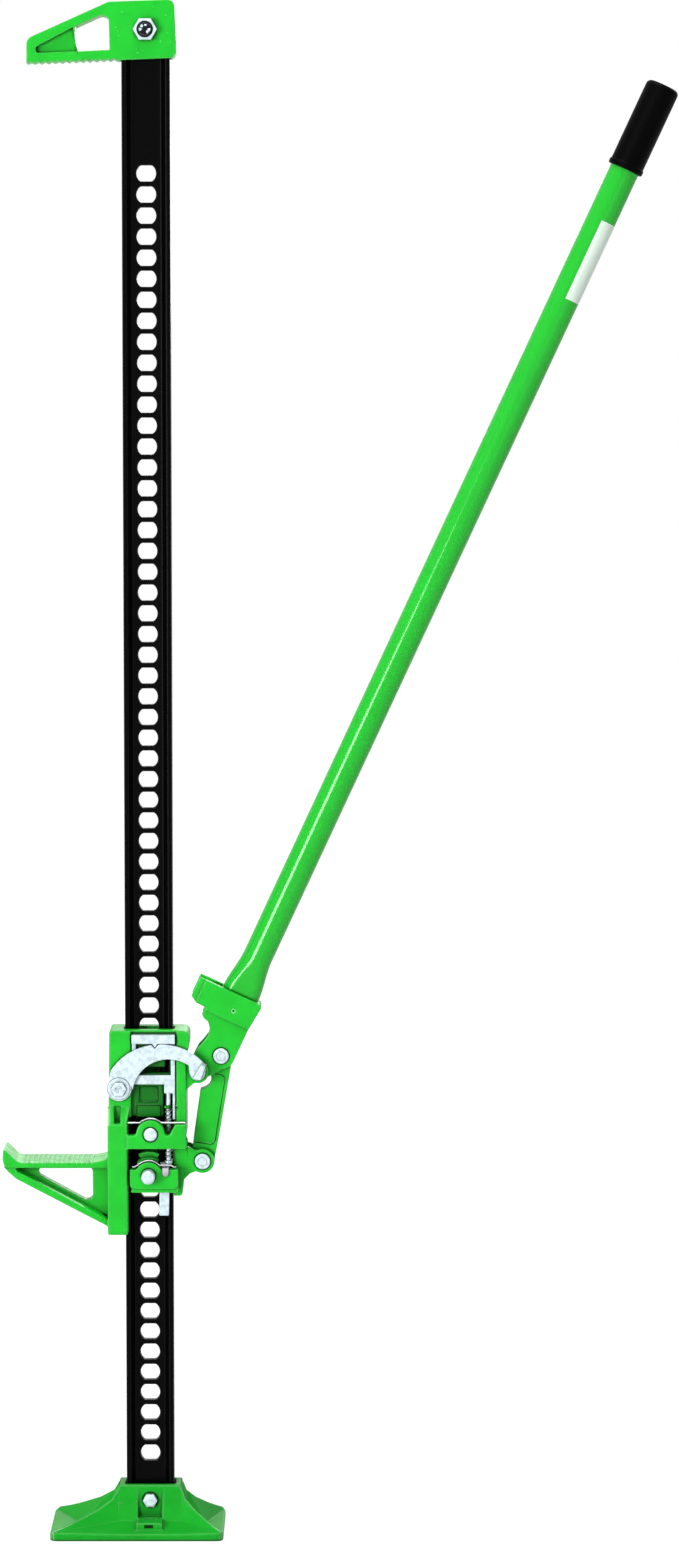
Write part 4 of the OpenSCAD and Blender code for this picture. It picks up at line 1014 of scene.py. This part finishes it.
@dataclass
class LowerRunner(Assembly):
    """The small runner with its wire spring, keeper and link pin; sizes in millimetres.

    Args:
        pin_shadow: the dark ring round the lower climbing pin: painted shadow.
        ear_front: depth of the face of the pitman's ears.
        link_shadow: the dark ring round the pitman's lower pin: painted shadow.
        link_mark: the grey ring on that pin: painted shade of its chamfer.
        lip_reach: where the rear lip starts and ends, across.
        lip_profile: the lip's section, along Y and up.
        boss_seat: depth at which the boss round the climbing pin starts.
        boss_steps: its steps, with the name and the thickness of each.
    """

    body: str = "lower_runner"
    nodes: NodeLooks = field(
        default_factory=lambda: {
            "small_runner": (GREEN, Edge.FINE_CAST),
            "lower_pin_spring": (STEEL, Edge.NONE),
            "spring_keeper": (STEEL, Edge.NONE),
            "pitman_foot_pin": (ZINC, Edge.TURNED),
            "pitman_foot_clip": (STEEL, Edge.NONE),
        }
    )
    pin_shadow: Arc = PIN_SHADOW
    ear_front: float = -17.4
    link_shadow: Arc = LINK_SHADOW
    link_mark: Arc = PIN_MARK
    lip_reach: Span = (-12.0, 14.0)
    lip_profile: tuple[Point, ...] = (
        (10.3, 366.0), (10.9, 366.0), (10.9, 371.0), (10.7, 371.4), (10.7, 384.5), (10.3, 384.5),
    )
    boss_seat: float = -14.0
    boss_steps: tuple[tuple[str, Arc, float], ...] = (
        ("boss_collar", Arc(9.5, 16.4, 54.0, 82.0, 20), 14.2),
        ("boss_root", Arc(11.0, 21.0, 62.0, 58.0, 20), 8.0),
    )

    def dress(self) -> None:
        """Adds the painted shadows round the pins, the painted shade ring on the link pin, the
        rear lip and the stepped boss.
        """
        _, bridge, _ = front_place("small_runner")
        shadow_at = front_place("lower_climbing_pin", bridge)
        self.ring("lower_pin_seam", shadow_at, self.pin_shadow)
        link_at = front_place("pitman_foot_pin", self.ear_front)
        self.ring("foot_pin_seam", link_at, self.link_shadow)
        self.ring("foot_pin_mark", front_place("pitman_foot_pin"), self.link_mark, ZINC_SHADE)
        self._rear_lip()
        self._boss()

    def _rear_lip(self) -> None:
        """The thin lip of the runner's back, between the rack and the large runner's tongue."""
        n = len(self.lip_profile)
        verts = [(x * MM, y * MM, z * MM) for x in self.lip_reach for y, z in self.lip_profile]
        faces = [(i, (i + 1) % n, n + (i + 1) % n, n + i) for i in range(n)]
        faces += [tuple(range(n - 1, -1, -1)), tuple(range(n, 2 * n))]
        self.finished(mesh_object("rear_lip", mesh_of("rear_lip", verts, faces)), GREEN)

    def _boss(self) -> None:
        """The stepped boss round the lower climbing pin, behind the bridge."""
        at = front_place("lower_climbing_pin", self.boss_seat)
        for name, arc, thick in self.boss_steps:
            self.ring(name, at, arc, GREEN, thick)


@dataclass
class Handle(Assembly):
    """Socket, tube and grip with the pins in the socket; sizes in millimetres.

    Places along the handle are measured up its slope from the pivot.

    Args:
        lean: how far the handle leans from upright, in degrees.
        tube_offset: how far the tube's axis stands beside the line through the pivot.
        cheek_front: depth of the socket's face round the pitman's upper pin.
        link_shadow: the dark ring round that pin: painted shadow.
        link_mark: the grey ring on it: painted shade of its chamfer.
        plug_reach: where the plug in the socket starts and ends, along the handle.
        plug: the plug's width and thickness.
        shoulder: where the tube leaves the socket.
        flat: the tube's width and thickness there.
        neck: where the tube becomes round.
        top: where it ends, inside the grip.
        round_d: the round tube's diameter.
        ease_steps: sections between the flat and the round stretch.
        plain_steps: sections along the round stretch.
        sides: sides of a section.
        crease: angle in degrees from which the tube's edges stay creases.
        strip_reach: where the pale strip starts and ends, along the handle.
        strip_radius: radius at which it lies.
        strip_sweep: angle that it covers from the tube's front, in degrees.
        strip_cells: its cells across and along.
    """

    body: str = "handle"
    nodes: NodeLooks = field(
        default_factory=lambda: {
            "handle_socket": (GREEN, Edge.FINE_CAST),
            "handle_grip": (RUBBER, Edge.PRESSED),
            # The roll pin's paler green is a painted highlight
            "socket_roll_pin": (SPECK_HIGHLIGHT, Edge.NONE),
            "pitman_head_pin": (ZINC, Edge.TURNED),
            "pitman_head_clip": (STEEL, Edge.NONE),
        }
    )
    lean: float = 24.9
    tube_offset: float = 6.6
    cheek_front: float = -16.4
    link_shadow: Arc = LINK_SHADOW
    link_mark: Arc = PIN_MARK
    plug_reach: Span = (61.0, 86.9)
    plug: Point = (33.0, 15.0)
    shoulder: float = 87.3
    flat: Point = (38.6, 21.0)
    neck: float = 129.3
    top: float = 1072.0
    round_d: float = 29.5
    ease_steps: int = 12
    plain_steps: int = 8
    sides: int = 72
    crease: float = 50.0
    strip_reach: Span = (848.0, 932.0)
    strip_radius: float = 14.9
    strip_sweep: float = 82.0
    strip_cells: tuple[int, int] = (14, 10)

    def dress(self) -> None:
        """Adds the painted shadow round the link pin and the painted shade ring on it, the smooth
        tube and the bare strip.
        """
        link_at = front_place("pitman_head_pin", self.cheek_front)
        self.ring("head_pin_seam", link_at, self.link_shadow)
        self.ring("head_pin_mark", front_place("pitman_head_pin"), self.link_mark, ZINC_SHADE)
        self._tube()
        self._strip()

    @cached_property
    def pivot(self) -> Place:
        """The middle of the pin that the handle turns on, in millimetres."""
        return front_place("handle_pivot_pin")

    def _leaned(self, across: float, depth: float, along: float) -> Vector:
        """A place in the handle's own frame, upright with its pivot at the origin, in the scene.

        Args:
            across: sideways, in millimetres.
            depth: along Y, in millimetres.
            along: up the handle, in millimetres.

        Returns:
            The place in metres.
        """
        lean = math.radians(self.lean)
        pivot_x, _, pivot_z = self.pivot
        x = pivot_x + across * math.cos(lean) + along * math.sin(lean)
        z = pivot_z - across * math.sin(lean) + along * math.cos(lean)
        return Vector((x, depth, z)) * MM

    def _sections(self) -> list[Place]:
        """Sections of the tube, from its flattened foot to its round upper end.

        Returns:
            For each, its place along the handle, its width and its thickness.
        """
        wide, thin = self.flat
        sections = [(along, *self.plug) for along in self.plug_reach]
        for i in range(self.ease_steps + 1):
            share = i / self.ease_steps
            ease = share * share * (3 - 2 * share)
            along = self.shoulder + (self.neck - self.shoulder) * share
            width = wide + (self.round_d - wide) * ease
            sections.append((along, width, thin + (self.round_d - thin) * ease))
        for i in range(1, self.plain_steps + 1):
            along = self.neck + (self.top - self.neck) * i / self.plain_steps
            sections.append((along, self.round_d, self.round_d))
        return sections

    def _tube(self) -> None:
        """Lofts the tube through its sections."""
        sections = self._sections()
        sides = self.sides
        verts = []
        for along, width, thick in sections:
            for k in range(sides):
                turn = math.tau * (k + 0.5) / sides
                middle = self.tube_offset + math.copysign((width - thick) / 2, math.cos(turn))
                across = middle + thick / 2 * math.cos(turn)
                verts.append(self._leaned(across, thick / 2 * math.sin(turn), along))
        faces = []
        for row in range(len(sections) - 1):
            for k in range(sides):
                a, b = row * sides + k, row * sides + (k + 1) % sides
                faces.append((a, b, b + sides, a + sides))
        last = (len(sections) - 1) * sides
        faces.append(tuple(range(sides - 1, -1, -1)))
        faces.append(tuple(last + k for k in range(sides)))
        mesh = mesh_of("handle_tube" + LOOK, verts, faces, smooth=True)
        mesh.set_sharp_from_angle(angle=math.radians(self.crease))
        obj = mesh_object("handle_tube" + LOOK, mesh)
        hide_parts("handle_tube")
        self.finished(obj, GREEN_TUBE)

    def _strip(self) -> None:
        """Lays the bare pale strip on the tube's right half."""
        low, high = self.strip_reach
        across, up = self.strip_cells
        row = across + 1
        verts = []
        for j in range(up + 1):
            along = low + (high - low) * j / up
            for i in range(row):
                turn = math.radians(self.strip_sweep * i / across)
                side = self.tube_offset + self.strip_radius * math.sin(turn)
                verts.append(self._leaned(side, -self.strip_radius * math.cos(turn), along))
        faces = [
            (j * row + i, j * row + i + 1, (j + 1) * row + i + 1, (j + 1) * row + i)
            for j in range(up)
            for i in range(across)
        ]
        mesh = mesh_of("pale_strip", verts, faces, smooth=True)
        self.finished(mesh_object("pale_strip", mesh), STRIP)


@dataclass
class UpperPin(Assembly):
    """The climbing pin in the upper bridge."""

    body: str = "upper_pin"
    nodes: NodeLooks = field(default_factory=lambda: {"upper_climbing_pin": (ZINC, Edge.TURNED)})


@dataclass
class LowerPin(Assembly):
    """The climbing pin in the lower bridge."""

    body: str = "lower_pin"
    nodes: NodeLooks = field(default_factory=lambda: {"lower_climbing_pin": (ZINC, Edge.TURNED)})


@dataclass
class Pitman(Assembly):
    """The cast link from the lower runner to the handle."""

    body: str = "pitman_arm"
    nodes: NodeLooks = field(default_factory=lambda: {"pitman": (GREEN, Edge.CAST)})


@dataclass
class Latch(Assembly):
    """The reversing latch, which turns on its bolt; sizes in millimetres.

    Args:
        tab_at: middle of the root of the thumb tab.
        tab_turn: how far the painted shade band at the tab's root is turned, in degrees.
        tab_outer: the band's outer corners, across and up from its middle.
        tab_inner: its inner corners.
    """

    body: str = "latch"
    nodes: NodeLooks = field(default_factory=lambda: {"reversing_latch": (ZINC, Edge.PRESSED)})
    tab_at: Place = (48.7, -30.1, 471.4)
    tab_turn: float = 20.0
    tab_outer: tuple[Point, ...] = ((2.0, 8.3), (-1.8, -8.3), (7.0, -8.3), (7.0, 8.3))
    tab_inner: tuple[Point, ...] = ((3.2, 7.0), (-0.4, -7.0), (5.8, -7.0), (5.8, 7.0))

    def dress(self) -> None:
        """Adds the grey band at the root of the thumb tab: painted shade of its fold."""
        turn = math.radians(self.tab_turn)
        inner, outer = (
            [
                (x * math.cos(turn) + z * math.sin(turn), z * math.cos(turn) - x * math.sin(turn))
                for x, z in row
            ]
            for row in (self.tab_inner, self.tab_outer)
        )
        self.band("tab_seam", inner, outer, self.tab_at, ZINC_SHADE)


@dataclass
class Shifter(Assembly):
    """The shift bar with the coil on its rod.

    Args:
        coil: node name of the coil.
    """

    body: str = "shifter"
    nodes: NodeLooks = field(
        default_factory=lambda: {
            "shift_bar": (ZINC, Edge.PRESSED),
            "shift_spring": (STEEL, Edge.NONE),
        }
    )
    coil: str = "shift_spring"

    def carry(self, obj: bpy.types.Object) -> None:
        """Lets the bar move with its body; the coil gets its transform baked and no body, so it
        stays where it is.

        Args:
            obj: the bar, which moves with its body, or the coil.
        """
        if obj.name != self.coil + LOOK:
            super().carry(obj)
            return
        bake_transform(obj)


@dataclass(frozen=True)
class Lamp:
    """A soft square lamp.

    Args:
        name: lamp name.
        at: its place in metres.
        power: its power in watts.
        size: its side in metres.
    """

    name: str
    at: Place
    power: float
    size: float

    def build(self, aim: Place) -> None:
        """Adds the lamp and turns it towards its aim.

        Args:
            aim: a place in metres.
        """
        data = bpy.data.lights.new(self.name, "AREA")
        data.energy, data.size = self.power, self.size
        lamp = bpy.data.objects.new(self.name, data)
        lamp.location = self.at
        lamp.rotation_mode = "QUATERNION"
        lamp.rotation_quaternion = (Vector(aim) - Vector(self.at)).to_track_quat("-Z", "Y")
        bpy.context.scene.collection.objects.link(lamp)


@dataclass(frozen=True)
class Studio:
    """Floor, lights and camera.

    Args:
        lamps: the lamps.
        aim: where they shine, in metres: the jack's middle.
        ambient: strength of the world's light on the object.
        reach: half the floor's side in metres.
        floor_level: how pale the floor is.
        glow: strength of the floor's own white where it is seen.
        glow_share: share of that white in what is seen.
        camera_at: the camera's place in metres.
        pitch: downward tilt in degrees.
        focal: focal length in image heights.
        sensor: side of the camera's sensor in millimetres.
        sight: how far the camera sees, in metres.
    """

    lamps: tuple[Lamp, ...] = (
        Lamp("key", (-2.6, -4.1, 1.1), 165.0, 1.6),
        Lamp("fill", (2.2, -4.6, 1.2), 6.0, 2.0),
        Lamp("top", (0.0, -1.2, 6.0), 230.0, 3.0),
        Lamp("back", (0.8, 4.6, 2.2), 50.0, 2.0),
    )
    aim: Place = (0.15, 0.0, 0.75)
    ambient: float = 0.22
    reach: float = 12.0
    floor_level: float = 0.92
    glow: float = 1.2
    glow_share: float = 0.8
    camera_at: Place = (0.1899, -4.8, 1.19)
    pitch: float = 5.1
    focal: float = 3.1243
    sensor: float = 36.0
    sight: float = 100.0

    def build(self) -> None:
        """Builds the studio."""
        self._floor()
        self._world()
        for lamp in self.lamps:
            lamp.build(self.aim)
        self._camera()

    def _floor(self) -> None:
        """A pale floor that meets the background without a line."""
        corners = ((-1, -1), (1, -1), (1, 1), (-1, 1))
        verts = [(x * self.reach, y * self.reach, 0.0) for x, y in corners]
        floor = mesh_object("floor", mesh_of("floor", verts, [(0, 1, 2, 3)]))
        material = bpy.data.materials.new("pale_floor")
        material.use_nodes = True
        tree = material.node_tree
        tree.nodes.clear()
        out = add_node(tree, "ShaderNodeOutputMaterial")
        colour = (self.floor_level, self.floor_level, self.floor_level, 1.0)
        matt = add_node(tree, "ShaderNodeBsdfDiffuse", {"Color": colour})
        white = add_node(tree, "ShaderNodeEmission", {"Strength": self.glow})
        mix = add_node(tree, "ShaderNodeMixShader")
        share = mapped(tree, self._seen(tree), target=(0.0, self.glow_share))
        tree.links.new(share, mix.inputs[0])
        tree.links.new(matt.outputs[0], mix.inputs[1])
        tree.links.new(white.outputs[0], mix.inputs[2])
        tree.links.new(mix.outputs[0], out.inputs[0])
        floor.data.materials.append(material)

    def _seen(self, tree: bpy.types.NodeTree) -> bpy.types.NodeSocket:
        """One for camera, glossy and transmission rays, else zero.

        Args:
            tree: node tree to add to.

        Returns:
            The socket with that value.
        """
        rays = add_node(tree, "ShaderNodeLightPath").outputs
        direct = combined(tree, "MAXIMUM", rays["Is Camera Ray"], rays["Is Glossy Ray"])
        return combined(tree, "MAXIMUM", direct, rays["Is Transmission Ray"])

    def _world(self) -> None:
        """White where it is seen, and softer where it lights."""
        world = bpy.data.worlds.new("studio")
        bpy.context.scene.world = world
        world.use_nodes = True
        tree = world.node_tree
        sky = tree.nodes["Background"]
        sky.inputs["Color"].default_value = (1.0, 1.0, 1.0, 1.0)
        level = mapped(tree, self._seen(tree), target=(self.ambient, 1.0))
        tree.links.new(level, sky.inputs["Strength"])

    def _camera(self) -> None:
        """Places the camera at the photograph's viewing angle."""
        data = bpy.data.cameras.new("camera")
        data.sensor_width = self.sensor
        data.lens = self.focal * self.sensor
        data.clip_end = self.sight
        camera = bpy.data.objects.new("camera", data)
        camera.location = self.camera_at
        camera.rotation_euler = (math.radians(90 - self.pitch), 0.0, 0.0)
        bpy.context.scene.collection.objects.link(camera)
        bpy.context.scene.camera = camera


def main() -> None:
    """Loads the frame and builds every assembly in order."""
    logging.basicConfig(level=logging.INFO)
    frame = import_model()
    parts = (Stand, Carriage, LowerRunner, Handle, UpperPin, LowerPin, Pitman, Latch, Shifter)
    for part in parts:
        assembly = part(frame)
        for piece in assembly.build():
            LOG.info("%s: %s", assembly.body, piece.name)
    Studio().build()
    bpy.context.scene.view_settings.view_transform = "Standard"


if __name__ == "__main__":
    main()
